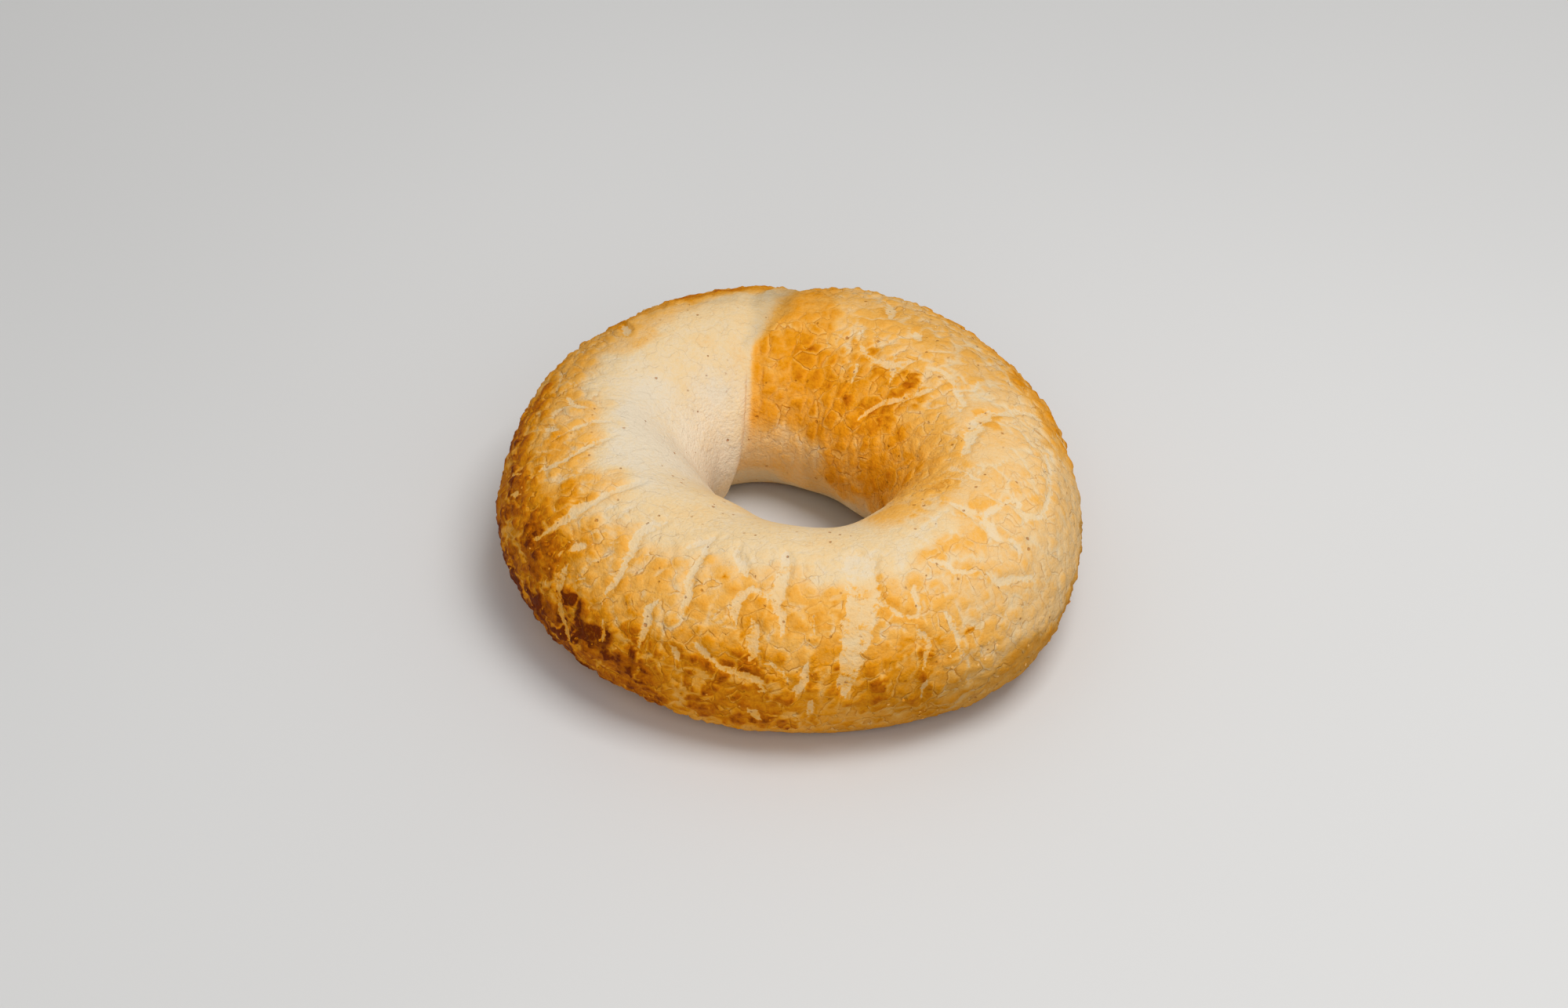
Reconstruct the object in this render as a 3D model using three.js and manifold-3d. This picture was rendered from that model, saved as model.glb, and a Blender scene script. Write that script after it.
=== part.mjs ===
// Ring-shaped cheese bread: a thick rope of dough bent into a ring, one end lapped over the other at
// the back, its crust torn open across the rope in the oven. One closed solid on a flat base.
// Millimetres, +Z up, +X to the right and +Y to the back, origin on the base under the ring's box.
// A place on the rope is given by two angles in degrees: the ring angle, counted from +X towards +Y,
// and the round angle about the rope, 0 at the outer side, 90 on top and 180 in the hole.

import * as THREE from 'three';
import { LoftGeometry } from 'three/addons/geometries/LoftGeometry.js';
import { mergeVertices } from 'three/addons/utils/BufferGeometryUtils.js';
import Module from 'manifold-3d';

// The ring: the line along the rope's middle is a circle pulled oval along one diagonal
const RING_CENTRE = new THREE.Vector2(0.5, -1.4);
const RING_RADIUS = 35.7;
const RING_OVAL = 2.3;
const OVAL_ANGLE = -45;

// The rope: thickest at the back right, thinnest at the front right
const ROPE_HALF_WIDTH = 19.4;
const BACK_SWELL = 1;
const DIAGONAL_SWELL = 1.4;
const SIDE_BULGES = [
  { ring: 8, out: -1.5, spread: 16 },
  { ring: 58, out: 2, spread: 24 },
  { ring: 158, out: -0.6, spread: 18 },
  { ring: 200, out: 0.9, spread: 18 },
  { ring: 316, out: 2.7, spread: 26 },
];
const HOLE_BULGES = [{ ring: 308, out: 2.4, spread: 20 }];
const HEIGHT = 34.6;
const WAIST_HEIGHT = 15.2;
const UNDERSIDE_DROP = 1.2;
const BASE_BLEND = 1.5;
const RELIEF_START = 0.5;
const RELIEF_FULL = 5;

// Low swells left by the hands that rolled the rope: waves along the ring and about the rope
const SWELL_HEIGHT = 0.22;
const LONG_SWELL = { along: 5, about: 2, phase: 0 };
const SHORT_SWELL = { along: 8, about: -3, phase: 1 };

// The lap: the crease leans along the rope, with a lip on its far side and an opening before it
const LAP_ANGLE = 97;
const LAP_ROUND = 70;
const LAP_LEAN = 0.22;
const LAP_OUTER_END = 50;
const LAP_INNER_END = 200;
const LIP_PROUD_TOP = 0.5;
const LIP_PROUD_HOLE = 2.4;
const LIP_EDGE = 2.2;
const LIP_FADE = 17;
const OPENING_DEPTH = 1;
const OPENING_WIDE = 6.4;
const OPENING_NARROW = 1.3;
const OPENING_WIDE_ROUND = 88;
const OPENING_NARROW_ROUND = 124;
const OPENING_WALL_FOOT = 0.75;
const OPENING_WALL_TOP = 1.1;

// Tears: each path is a few places on the rope, and the width is the tear's greatest
const TEAR_DEPTH = 1.1;
const TEAR_FLOOR = 0.72;
const TEAR_STEP = 2.6;
const TEAR_RAGGED = 0.22;
const TEAR_TIP = 0.04;
const CUT_RISE = 1.2;
const TEARS = [
  { path: [[203, 30], [208.5, 45], [211.5, 77], [210.5, 100]], width: 2.2 },
  { path: [[228.5, 32], [230, 52], [226.5, 68], [232, 85]], width: 2.1 },
  { path: [[238.5, 18], [239.5, 31], [240.3, 43]], width: 2.1 },
  { path: [[244, 43], [243, 50], [244.5, 73]], width: 1.9 },
  { path: [[257.5, 64], [252.5, 76], [255, 92]], width: 1.8 },
  { path: [[262, 21], [262, 38], [256, 47], [258, 57]], width: 2.4 },
  { path: [[267.8, 47], [266.5, 55], [269.5, 75]], width: 2.2 },
  { path: [[280.8, 3], [282.8, 33], [285.6, 60], [286.5, 87]], width: 5.6 },
  { path: [[272.5, 23], [272, 14], [273, -8]], width: 2.2 },
  { path: [[215.5, 31], [216.5, 15], [220, -4]], width: 2 },
  { path: [[316, 46], [315.5, 41], [322, 36]], width: 1.8 },
  { path: [[320.3, 60], [321, 86], [320, 108]], width: 1.6 },
  { path: [[328.5, 31], [331.5, 51], [333.5, 68]], width: 1.5 },
  { path: [[346, 106], [362.5, 91], [367.5, 84], [364, 50]], width: 2.5 },
  { path: [[41.5, 100], [49, 112], [62, 108]], width: 1.8 },
  { path: [[27, 103], [33, 121], [44, 141]], width: 1.6 },
  { path: [[60, 55], [57, 76]], width: 2.2 },
  { path: [[192, 50], [187, 91], [184, 106]], width: 1.6 },
];

// Facets: crowded towards the lap, with no rows on the flat of the base
const COLUMNS = 128;
const ROWS = 30;
const LAP_CROWDING = 0.45;
const ANGLE_STEP = 0.25;
const RANDOM_SEED = 20;

const CRUST_COLOUR = 0xe0ad5c;
const CRUST_ROUGHNESS = 0.8;

const { clamp, degToRad, lerp, radToDeg, seededRandom, smoothstep } = THREE.MathUtils;

// Round angle at which the underside leaves the flat of the base
const BASE_EDGE = -radToDeg(Math.asin((WAIST_HEIGHT + BASE_BLEND) / (WAIST_HEIGHT * UNDERSIDE_DROP)));

// Signed difference of two angles in degrees, between -180 and 180
function turnBetween(from, to) {
  return THREE.MathUtils.euclideanModulo(to - from + 180, 360) - 180;
}

// How far one side of the rope swells past the plain oval
function bulgeOf(bulges, ring) {
  let height = 0;
  for (const { ring: middle, out, spread } of bulges) {
    height += out * Math.exp(-((turnBetween(middle, ring) / spread) ** 2));
  }
  return height;
}

function ropeRadius(ring) {
  const oval = RING_OVAL * Math.cos(2 * degToRad(ring - OVAL_ANGLE));
  return RING_RADIUS + oval + (bulgeOf(SIDE_BULGES, ring) - bulgeOf(HOLE_BULGES, ring)) / 2;
}

function ropeHalfWidth(ring) {
  const angle = degToRad(ring);
  const thicker = BACK_SWELL * Math.sin(angle) + DIAGONAL_SWELL * Math.sin(2 * angle);
  return ROPE_HALF_WIDTH + thicker + (bulgeOf(SIDE_BULGES, ring) + bulgeOf(HOLE_BULGES, ring)) / 2;
}

// Height over the base, with the underside pressed flat where the rope would pass through it
function ropeHeight(round) {
  const rise = Math.sin(degToRad(round));
  const reach = rise > 0 ? HEIGHT - WAIST_HEIGHT : WAIST_HEIGHT * UNDERSIDE_DROP;
  const height = WAIST_HEIGHT + reach * rise;
  if (height > BASE_BLEND) {
    return height;
  }
  return Math.max(height + BASE_BLEND, 0) ** 2 / (4 * BASE_BLEND);
}

function outwardRadius(ring, round) {
  return ropeRadius(ring) + ropeHalfWidth(ring) * Math.cos(degToRad(round));
}

function ropePoint(ring, round) {
  const radius = outwardRadius(ring, round);
  const angle = degToRad(ring);
  return new THREE.Vector3(
    RING_CENTRE.x + radius * Math.cos(angle),
    RING_CENTRE.y + radius * Math.sin(angle),
    ropeHeight(round),
  );
}

function ropeNormal(ring, round) {
  const along = ropePoint(ring + ANGLE_STEP, round).sub(ropePoint(ring - ANGLE_STEP, round));
  const about = ropePoint(ring, round + ANGLE_STEP).sub(ropePoint(ring, round - ANGLE_STEP));
  return along.cross(about).normalize();
}

function wave({ along, about, phase }, ring, round) {
  return Math.sin(along * degToRad(ring) + about * degToRad(round) + phase);
}

function handSwell(ring, round) {
  return SWELL_HEIGHT * (wave(LONG_SWELL, ring, round) + wave(SHORT_SWELL, ring, round));
}

function lapAngle(round) {
  return LAP_ANGLE + LAP_LEAN * (clamp(round, LAP_OUTER_END, LAP_INNER_END) - LAP_ROUND);
}

// Height of the lap's relief: the lip rises with a rounded edge, the opening is a shallow trench
function lapRelief(ring, round) {
  const distance = degToRad(turnBetween(lapAngle(round), ring)) * outwardRadius(ring, round);
  if (distance < 0) {
    const narrowing = smoothstep(round, OPENING_WIDE_ROUND, OPENING_NARROW_ROUND);
    const width = lerp(OPENING_WIDE, OPENING_NARROW, narrowing);
    return -OPENING_DEPTH * (1 - smoothstep(-distance, OPENING_WALL_FOOT * width, OPENING_WALL_TOP * width));
  }
  const proud = lerp(LIP_PROUD_TOP, LIP_PROUD_HOLE, smoothstep(round, LAP_ROUND, LAP_INNER_END));
  const edge = Math.min(distance / LIP_EDGE, 1);
  return proud * Math.sqrt(edge * (2 - edge)) * Math.exp(-((distance / LIP_FADE) ** 2));
}

// A place on the crust: the smooth rope with its swells and lap, which fade out towards the base
function crustPoint(ring, round) {
  const relief = handSwell(ring, round) + lapRelief(ring, round);
  const shown = smoothstep(ropeHeight(round), RELIEF_START, RELIEF_FULL);
  return ropePoint(ring, round).addScaledVector(ropeNormal(ring, round), relief * shown);
}

// The ring's facets: columns lean with the lap's crease, and the last row strip is the flat base
function ringGeometry() {
  const geometry = new THREE.TorusGeometry(RING_RADIUS, ROPE_HALF_WIDTH, ROWS, COLUMNS);
  const { position, uv } = geometry.attributes;
  for (let index = 0; index < position.count; index += 1) {
    const column = Math.round(uv.getX(index) * COLUMNS) % COLUMNS;
    const row = Math.round(uv.getY(index) * ROWS) % ROWS;
    const round = lerp(BASE_EDGE, 180 - BASE_EDGE, row / (ROWS - 1));
    const turn = 2 * Math.PI * column / COLUMNS;
    const fromLap = turn - LAP_CROWDING * Math.sin(turn);
    const lean = (lapAngle(round) - LAP_ANGLE) * (1 + Math.cos(fromLap)) / 2;
    const place = crustPoint(LAP_ANGLE + radToDeg(fromLap) + lean, round);
    position.setXYZ(index, place.x, place.y, place.z);
  }
  return geometry;
}

// Evenly spaced places along a tear, as ring and round angles
function tearStations(path) {
  const corners = path.map(([ring, round]) => new THREE.Vector3(ring, round, 0));
  const curve = new THREE.CatmullRomCurve3(corners, false, 'centripetal');
  const length = crustLength(corners);
  return curve.getPoints(Math.max(Math.round(length / TEAR_STEP), 3));
}

function crustLength(corners) {
  let length = 0;
  for (let index = 1; index < corners.length; index += 1) {
    const start = ropePoint(corners[index - 1].x, corners[index - 1].y);
    const end = ropePoint(corners[index].x, corners[index].y);
    length += start.distanceTo(end);
  }
  return length;
}

// Half of a width, a little more or less at each draw
function raggedHalf(width) {
  return 0.5 * width * (1 + TEAR_RAGGED * (2 * seededRandom() - 1));
}

// A tear's cutter: a ragged trench, wide and deep in the middle and closing towards both ends
function tearGeometry({ path, width }) {
  const stations = tearStations(path);
  const places = stations.map(({ x, y }) => crustPoint(x, y));
  const last = stations.length - 1;
  const sections = stations.map(({ x, y }, index) => {
    const open = Math.sqrt(Math.sin(Math.PI * lerp(TEAR_TIP, 1 - TEAR_TIP, index / last)));
    const normal = ropeNormal(x, y);
    const ahead = places[Math.min(index + 1, last)].clone().sub(places[Math.max(index - 1, 0)]);
    const side = new THREE.Vector3().crossVectors(normal, ahead).normalize();
    const left = raggedHalf(width * open);
    const right = raggedHalf(width * open);
    const corner = (across, up) => {
      return places[index].clone().addScaledVector(side, across).addScaledVector(normal, up);
    };
    const rim = 1 + (1 - TEAR_FLOOR) * CUT_RISE / TEAR_DEPTH;
    return [
      corner(left * rim, CUT_RISE),
      corner(-right * rim, CUT_RISE),
      corner(-right * TEAR_FLOOR, -TEAR_DEPTH * open),
      corner(left * TEAR_FLOOR, -TEAR_DEPTH * open),
    ];
  });
  return new LoftGeometry(sections, { capStart: true, capEnd: true });
}

const wasm = await Module();
wasm.setup();

function solidFrom(geometry) {
  const bare = new THREE.BufferGeometry().copy(geometry);
  bare.deleteAttribute('normal');
  bare.deleteAttribute('uv');
  const merged = mergeVertices(bare);
  const vertProperties = merged.attributes.position.array;
  const triVerts = new Uint32Array(merged.index.array);
  return new wasm.Manifold(new wasm.Mesh({ numProp: 3, vertProperties, triVerts }));
}

function geometryFrom(solid) {
  const { vertProperties, triVerts } = solid.getMesh();
  const geometry = new THREE.BufferGeometry();
  geometry.setAttribute('position', new THREE.BufferAttribute(vertProperties, 3));
  geometry.setIndex(new THREE.BufferAttribute(triVerts, 1));
  geometry.computeVertexNormals();
  return geometry;
}

function breadRing() {
  seededRandom(RANDOM_SEED);
  let solid = solidFrom(ringGeometry());
  for (const tear of TEARS) {
    solid = solid.subtract(solidFrom(tearGeometry(tear)));
  }
  const crust = new THREE.MeshStandardMaterial({
    color: CRUST_COLOUR,
    roughness: CRUST_ROUGHNESS,
    metalness: 0,
  });
  const mesh = new THREE.Mesh(geometryFrom(solid), crust);
  mesh.name = 'bread_ring';
  return mesh;
}

const bread = new THREE.Group();
bread.name = 'cheese_bread';
bread.add(breadRing());

export default bread;
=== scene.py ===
"""Ring-shaped cheese bread: its torn and browned crust, the loose flakes on it, and a plain stage."""

import math

import bpy
import numpy as np
from bpy.props import FloatProperty, FloatVectorProperty, PointerProperty
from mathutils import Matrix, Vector


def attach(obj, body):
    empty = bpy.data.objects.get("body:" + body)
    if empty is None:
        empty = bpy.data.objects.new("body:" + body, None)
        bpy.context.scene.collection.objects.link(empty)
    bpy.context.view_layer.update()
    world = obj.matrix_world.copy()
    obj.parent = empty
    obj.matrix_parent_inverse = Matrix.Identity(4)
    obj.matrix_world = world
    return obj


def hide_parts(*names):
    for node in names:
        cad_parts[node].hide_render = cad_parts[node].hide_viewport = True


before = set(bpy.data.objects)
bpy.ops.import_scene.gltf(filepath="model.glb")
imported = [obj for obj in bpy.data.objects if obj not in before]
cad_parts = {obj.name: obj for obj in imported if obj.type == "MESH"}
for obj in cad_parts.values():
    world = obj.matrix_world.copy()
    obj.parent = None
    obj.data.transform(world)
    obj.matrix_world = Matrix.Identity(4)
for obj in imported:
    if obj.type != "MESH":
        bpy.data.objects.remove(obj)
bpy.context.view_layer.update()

bl_info = {
    "name": "Cheese Bread Ring",
    "version": (1, 0, 0),
    "blender": (4, 5, 0),
    "location": "View3D > Sidebar > Bread",
    "description": "Builds the crust, the flakes and the stage of a ring-shaped cheese bread",
    "category": "Object",
}

MM = 0.001
BODY = "root"
CRUST_NODE = "bread_ring"
CRUST_NAME = "bread_crust"
FLAKES_NAME = "crust_flakes"

# The ring, in millimetres and degrees. A place on the rope has a ring angle, counted from +X towards +Y,
# and a round angle about the rope: 0 at the outer side, 90 on top, 180 in the hole, 270 on the base.
RING_CENTRE = (0.5, -1.4)
RING_RADIUS = 35.7
RING_OVAL = 2.3
OVAL_ANGLE = -45
ROPE_HALF_WIDTH = 19.4
BACK_SWELL = 1.0
DIAGONAL_SWELL = 1.4
# A bulge has its ring angle, how far it stands out and its spread
SIDE_BULGES = [(8, -1.5, 16), (58, 2.0, 24), (158, -0.6, 18), (200, 0.9, 18), (316, 2.7, 26)]
HOLE_BULGES = [(308, 2.4, 20)]
HEIGHT = 34.6
WAIST_HEIGHT = 15.2
UNDERSIDE_DROP = 1.2
BASE_BLEND = 1.5
RELIEF_START = 0.5
RELIEF_FULL = 5.0
SWELL_HEIGHT = 0.22
# A wave has its counts along the ring and about the rope, and its phase
SWELL_WAVES = [(5, 2, 0), (8, -3, 1)]
ANGLE_STEP = 0.25

# The lap of the rope's two ends: its crease, the lip that stands proud and the opening before it
LAP_ANGLE = 97
LAP_ROUND = 70
LAP_LEAN = 0.22
LAP_OUTER_END = 50
LAP_INNER_END = 200
LAP_REACH = 90
LIP_PROUD_TOP = 0.5
LIP_PROUD_HOLE = 2.4
LIP_EDGE = 2.2
LIP_FADE = 17
OPENING_DEPTH = 1.0
OPENING_WIDE = 6.4
OPENING_NARROW = 1.3
OPENING_WIDE_ROUND = 88
OPENING_NARROW_ROUND = 124
OPENING_WALL_FOOT = 0.45
OPENING_WALL_TOP = 1.4
OPENING_RAMP = 3.5
VALLEY_SHARE = 0.6
VALLEY_MARGIN = 2.0
CREASE_START = 126
CREASE_FULL = 156
ON_CREASE = 1e-6

# Soft steps beside the lap, each from its start to its end. Before the lap they are shares of the
# opening's width, with a last number of millimetres; on the lip they are millimetres.
PALE_BEFORE = (0.3, 0.85, 0.7)
PALE_LIP = (4.0, 24.0)
SMOOTH_BEFORE = (0.6, 1.3, 1.0)
SMOOTH_LIP = (2.0, 30.0)
VALLEY_RISE = (-0.25, 0.3)
VALLEY_FALL = (0.8, 1.3)

# Soft steps in round angles
ROUND_BEFORE_LAP = (40, 70)
ROUND_ON_LIP = (60, 76)
VALLEY_ROUND_RISE = (30, 55)
VALLEY_ROUND_FALL = (105, 125)
FINE_ROWS_RISE = (-60, -30)
FINE_ROWS_FALL = (125, 165)

# Vertices of the crust: columns along the ring, rows about the rope
COLUMNS = 608
SHOWN_ROWS = 148
BASE_ROWS = 8
LAP_CROWDING = 0.3
ROW_FINENESS = 0.9
ROW_SAMPLES = 2000

# Tears in the crust, each a list of ring angle, round angle and width
TEARS = [
    # Left side
    [
        (204.5, 30, 0.5), (206, 35, 1.0), (208, 45, 1.3), (208.6, 52, 2.0), (208.6, 57, 2.3),
        (209.6, 64, 2.2), (210.6, 72, 1.6), (210.9, 77, 1.8), (211.4, 84, 1.6), (211.3, 91, 1.3),
        (212, 99, 0.5),
    ],
    [(214.5, 41, 0.9), (216, 45, 1.5), (218.2, 49.5, 1.0)],
    [(213.4, 35, 0.7), (213.9, 39, 1.2)],
    [
        (190.3, 49, 0.5), (190.8, 54, 0.9), (191.6, 62, 1.0), (191.5, 70, 1.2), (189.5, 80, 1.2),
        (188, 87, 1.1), (186.3, 93, 0.9), (184.5, 101, 0.5),
    ],
    [(182, 64, 0.5), (180.5, 75, 0.8), (179, 87, 0.9), (178.7, 97, 0.5)],
    [(175.5, 57, 0.5), (177, 61, 1.0), (179.5, 68, 0.7)],
    [(166.5, 68, 0.6), (169, 72, 1.1), (171, 76, 1.0), (172, 84, 0.5)],
    [(134.5, 62, 1.4), (136, 71, 1.8), (138.5, 79, 0.7)],
    [(183.5, 30, 0.4), (185, 35, 0.7), (187, 40, 0.6)],
    [(189.5, 29, 0.4), (191, 34, 0.7), (192.3, 38, 0.5)],
    # Front left
    [
        (216.3, 35, 0.8), (216.6, 27, 1.8), (216.6, 20, 2.0), (218, 13, 1.8), (219, 7, 1.8),
        (220.3, 0, 1.6), (221.8, -10, 0.8),
    ],
    [
        (231, 87, 0.8), (229, 80.5, 1.4), (227.2, 71, 1.5), (227.5, 66, 1.8), (229.2, 61, 1.7),
        (229, 53, 1.6), (229.6, 46.5, 1.5), (229.4, 39, 1.3), (228.4, 31, 0.6),
    ],
    [(220, 30, 0.4), (221.5, 34, 0.6), (223.8, 35.5, 0.5)],
    [(212.4, 21, 0.6), (213, 17, 1.0), (213.8, 13, 0.6)],
    [(230, 20, 0.6), (230.5, 14, 1.2), (231.2, 7, 0.9)],
    [
        (241, 43, 0.6), (239.5, 39.5, 1.2), (238.8, 35, 1.7), (240, 30, 1.9), (239.7, 25.5, 1.7),
        (238.9, 19, 1.2), (239, 14, 0.6),
    ],
    [(240, 74.5, 0.8), (243, 79, 1.6), (245.5, 84, 1.4), (247, 90, 0.7)],
    [
        (246.3, 83, 0.8), (246.1, 67, 1.4), (245.7, 58, 1.7), (246.4, 50, 1.8), (247, 42, 1.2),
        (246, 36, 0.6),
    ],
    [(245.5, 23, 0.7), (247, 19, 1.2), (248, 13, 0.8)],
    # Front middle
    [(255.3, 88, 1.0), (255, 79, 1.8), (258.3, 72.5, 1.8), (259.5, 67, 0.8)],
    [(260.5, 62, 1.2), (258.3, 55, 1.8), (257.5, 48.5, 1.8), (257.8, 44.5, 1.5), (259, 38, 0.7)],
    [(260, 61, 1.2), (264, 59, 1.2), (266, 57, 1.4)],
    [(262, 47, 0.7), (262.5, 41, 1.6), (262.2, 35, 2.5), (262.3, 29, 2.4), (261.6, 22, 1.0)],
    [
        (269, 88, 1.0), (268.3, 76, 2.0), (267.3, 66, 2.5), (267, 60, 2.3), (266.5, 56, 2.0),
        (267.2, 52, 2.0), (268.2, 47, 1.6), (268, 37, 0.7),
    ],
    [
        (249.5, 28, 0.6), (251.5, 25, 0.9), (253, 21.5, 0.9), (256, 16.5, 1.0), (258.5, 15.5, 1.1),
        (261.5, 12.5, 1.2), (264, 10.5, 1.3), (265.3, 6.5, 1.1), (263.5, 3, 0.8),
    ],
    [(263.8, 21.5, 0.5), (266.5, 21.5, 0.7), (268.4, 18, 0.7), (269.5, 12, 0.5)],
    [(261.5, -8, 0.6), (262.5, -14, 1.8), (264, -19, 0.8)],
    [(273.3, 24, 0.8), (272.6, 15.5, 1.9), (271.4, 9, 1.6), (270.8, 2, 0.7)],
    [(274, 2, 1.0), (273.4, -8, 2.0), (273.6, -17, 0.9)],
    [(275.1, 51, 0.4), (274.6, 44, 0.6), (274.9, 38, 0.4)],
    [
        (288, 88, 2.6), (287.6, 80, 5.3), (286.6, 70, 5.7), (285.9, 60, 5.9), (285, 50, 5.2),
        (283.4, 40, 5.7), (282, 30, 4.9), (281.1, 20, 4.2), (279.9, 10, 3.1), (279.7, 0, 1.2),
    ],
    # Front right
    [
        (297, 59, 0.5), (296.3, 54, 1.0), (296.6, 47, 1.0), (296, 42, 1.1), (293.7, 42, 1.1),
        (291.5, 46.5, 1.0), (289.6, 54.5, 0.7),
    ],
    [(294.5, 37, 0.5), (296, 30.5, 1.1), (296.6, 26, 1.1), (295.6, 20, 1.1), (294.6, 12, 0.7)],
    [(295, 7, 0.7), (294.8, 0, 1.3), (294.6, -9, 0.7)],
    [
        (300.8, 42, 0.7), (302, 33, 1.3), (302.3, 28, 1.4), (302, 22, 1.0), (303.4, 11.5, 0.6),
        (303.8, 5, 0.4),
    ],
    [
        (303.5, 71, 0.6), (305, 68, 1.2), (307, 64, 1.4), (307.5, 58, 1.6), (310, 55.5, 1.2),
        (312.5, 54.5, 0.5),
    ],
    [
        (313.5, 51, 0.7), (314.2, 46, 1.2), (315.5, 42, 1.7), (318.5, 39.5, 1.8),
        (321.5, 35.5, 1.5), (323.5, 30, 0.6),
    ],
    # Right side
    [
        (321, 101, 0.5), (322.5, 92, 1.3), (323, 84, 1.6), (322.5, 77, 1.8), (322, 70, 1.7),
        (321.5, 64, 1.6), (321, 59, 0.9),
    ],
    [(322.7, 79, 1.2), (326, 76, 1.2), (330, 73, 1.1), (334, 69, 1.2)],
    [
        (334.5, 69, 1.0), (332.5, 65, 1.2), (331, 61, 1.2), (332, 57, 1.2), (334, 52, 1.3),
        (336, 46, 0.7),
    ],
    [(355, 53, 0.6), (350, 51, 1.2), (344, 50, 1.2), (338, 50, 1.0), (334, 52, 0.8)],
    [(322, 60, 0.6), (324, 56, 0.8), (324, 50, 0.9), (322, 45, 0.5)],
    [(337.5, 101, 0.5), (335, 95, 1.0), (334.8, 88, 0.7)],
    [
        (344, 104, 0.5), (350.5, 100, 1.6), (355.5, 97, 2.2), (360.5, 92.5, 2.4), (363.5, 88, 2.4),
        (366.5, 82, 1.8), (366.2, 76, 1.3), (367.5, 69, 1.8), (369, 63, 2.0), (370, 56, 1.2),
        (370.5, 46, 0.5),
    ],
    # Back right
    [
        (35, 98, 0.6), (31.5, 94, 1.0), (28, 91.5, 1.1), (24, 91.5, 1.1), (20.5, 93, 1.0),
        (16, 92.5, 1.1), (11, 94.5, 1.1), (8, 98, 0.5),
    ],
    [(19.5, 94, 0.6), (17.8, 88, 0.9), (18.3, 82, 0.9), (21, 77, 0.5)],
    [
        (62.5, 105, 0.6), (60.5, 108, 1.0), (56, 110.5, 1.4), (50.5, 110.5, 1.5), (45, 108.5, 1.8),
        (41, 103, 1.3), (38.5, 98, 0.6),
    ],
    [(44, 108.5, 1.5), (41, 112.5, 1.2), (39.5, 117, 0.5)],
    [(59, 116, 0.5), (58, 121, 0.9), (56, 128, 0.5)],
    [
        (41, 142, 0.5), (37, 135, 0.9), (33, 127, 1.0), (29, 121, 1.4), (26.5, 114.5, 1.5),
        (24.5, 109, 1.2), (23.5, 103, 0.5),
    ],
    [(27, 119, 1.0), (24.5, 122, 0.6)],
    [(64, 65, 1.6), (62.5, 72, 2.2), (59, 81, 1.2)],
    [(50.5, 81, 0.8), (48.5, 84, 1.8), (46, 88, 0.8)],
    # Outer side at the back
    [(8, 4, 0.5), (9.5, 12, 1.1), (8.6, 20, 1.5), (10, 28, 1.2), (9.4, 34, 0.5)],
    [(22, 8, 0.6), (23.5, 15, 1.0), (23, 22, 1.5), (25, 29, 1.9), (24.4, 36, 1.6), (26.5, 42, 0.6)],
    [(33, -8, 0.5), (32, 0, 1.1), (33.5, 7, 1.5), (32.5, 15, 1.0), (34, 22, 0.5)],
    [
        (46, 0, 0.5), (45, 8, 1.2), (46.8, 16, 1.9), (46, 24, 2.1), (48.2, 31, 1.8),
        (47.4, 39, 1.2), (49.5, 46, 0.5),
    ],
    [(46.8, 17, 1.0), (50, 13, 1.1), (52.5, 12, 0.5)],
    [(60, -12, 0.5), (61, -4, 1.2), (60.2, 4, 1.4), (62, 11, 0.6)],
    [
        (72, -2, 0.6), (72.8, 6, 1.6), (71.5, 15, 2.4), (73, 25, 2.7), (72.2, 34, 2.3),
        (74, 42, 1.5), (73.5, 49, 0.6),
    ],
    [(84, 12, 0.5), (83, 19, 1.1), (84.6, 26, 1.3), (84, 33, 0.6)],
    [(97, -6, 0.5), (98.5, 3, 1.2), (97.4, 11, 1.8), (99, 19, 1.6), (98, 27, 1.0), (99.4, 34, 0.5)],
    [
        (112, -8, 0.5), (111, 0, 1.3), (112.8, 9, 1.9), (111.6, 18, 2.2), (113.4, 27, 1.7),
        (112.5, 35, 0.9), (114, 42, 0.5),
    ],
    [(111.8, 17, 1.0), (108.5, 20, 1.1), (106.5, 24, 0.5)],
    [(126, 6, 0.5), (127.2, 14, 1.3), (126, 22, 1.7), (128, 30, 1.5), (127, 38, 0.6)],
    [
        (140, -4, 0.5), (139, 5, 1.2), (140.8, 13, 1.8), (139.5, 22, 2.0), (141.4, 31, 1.6),
        (140.6, 40, 0.6),
    ],
    [(153, 4, 0.5), (154.5, 12, 1.1), (153.4, 20, 1.5), (155, 28, 1.2), (154.6, 35, 0.5)],
    [(165, -2, 0.5), (164, 6, 1.1), (165.6, 14, 1.4), (164.4, 21, 1.0), (165.8, 28, 0.5)],
]

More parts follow.
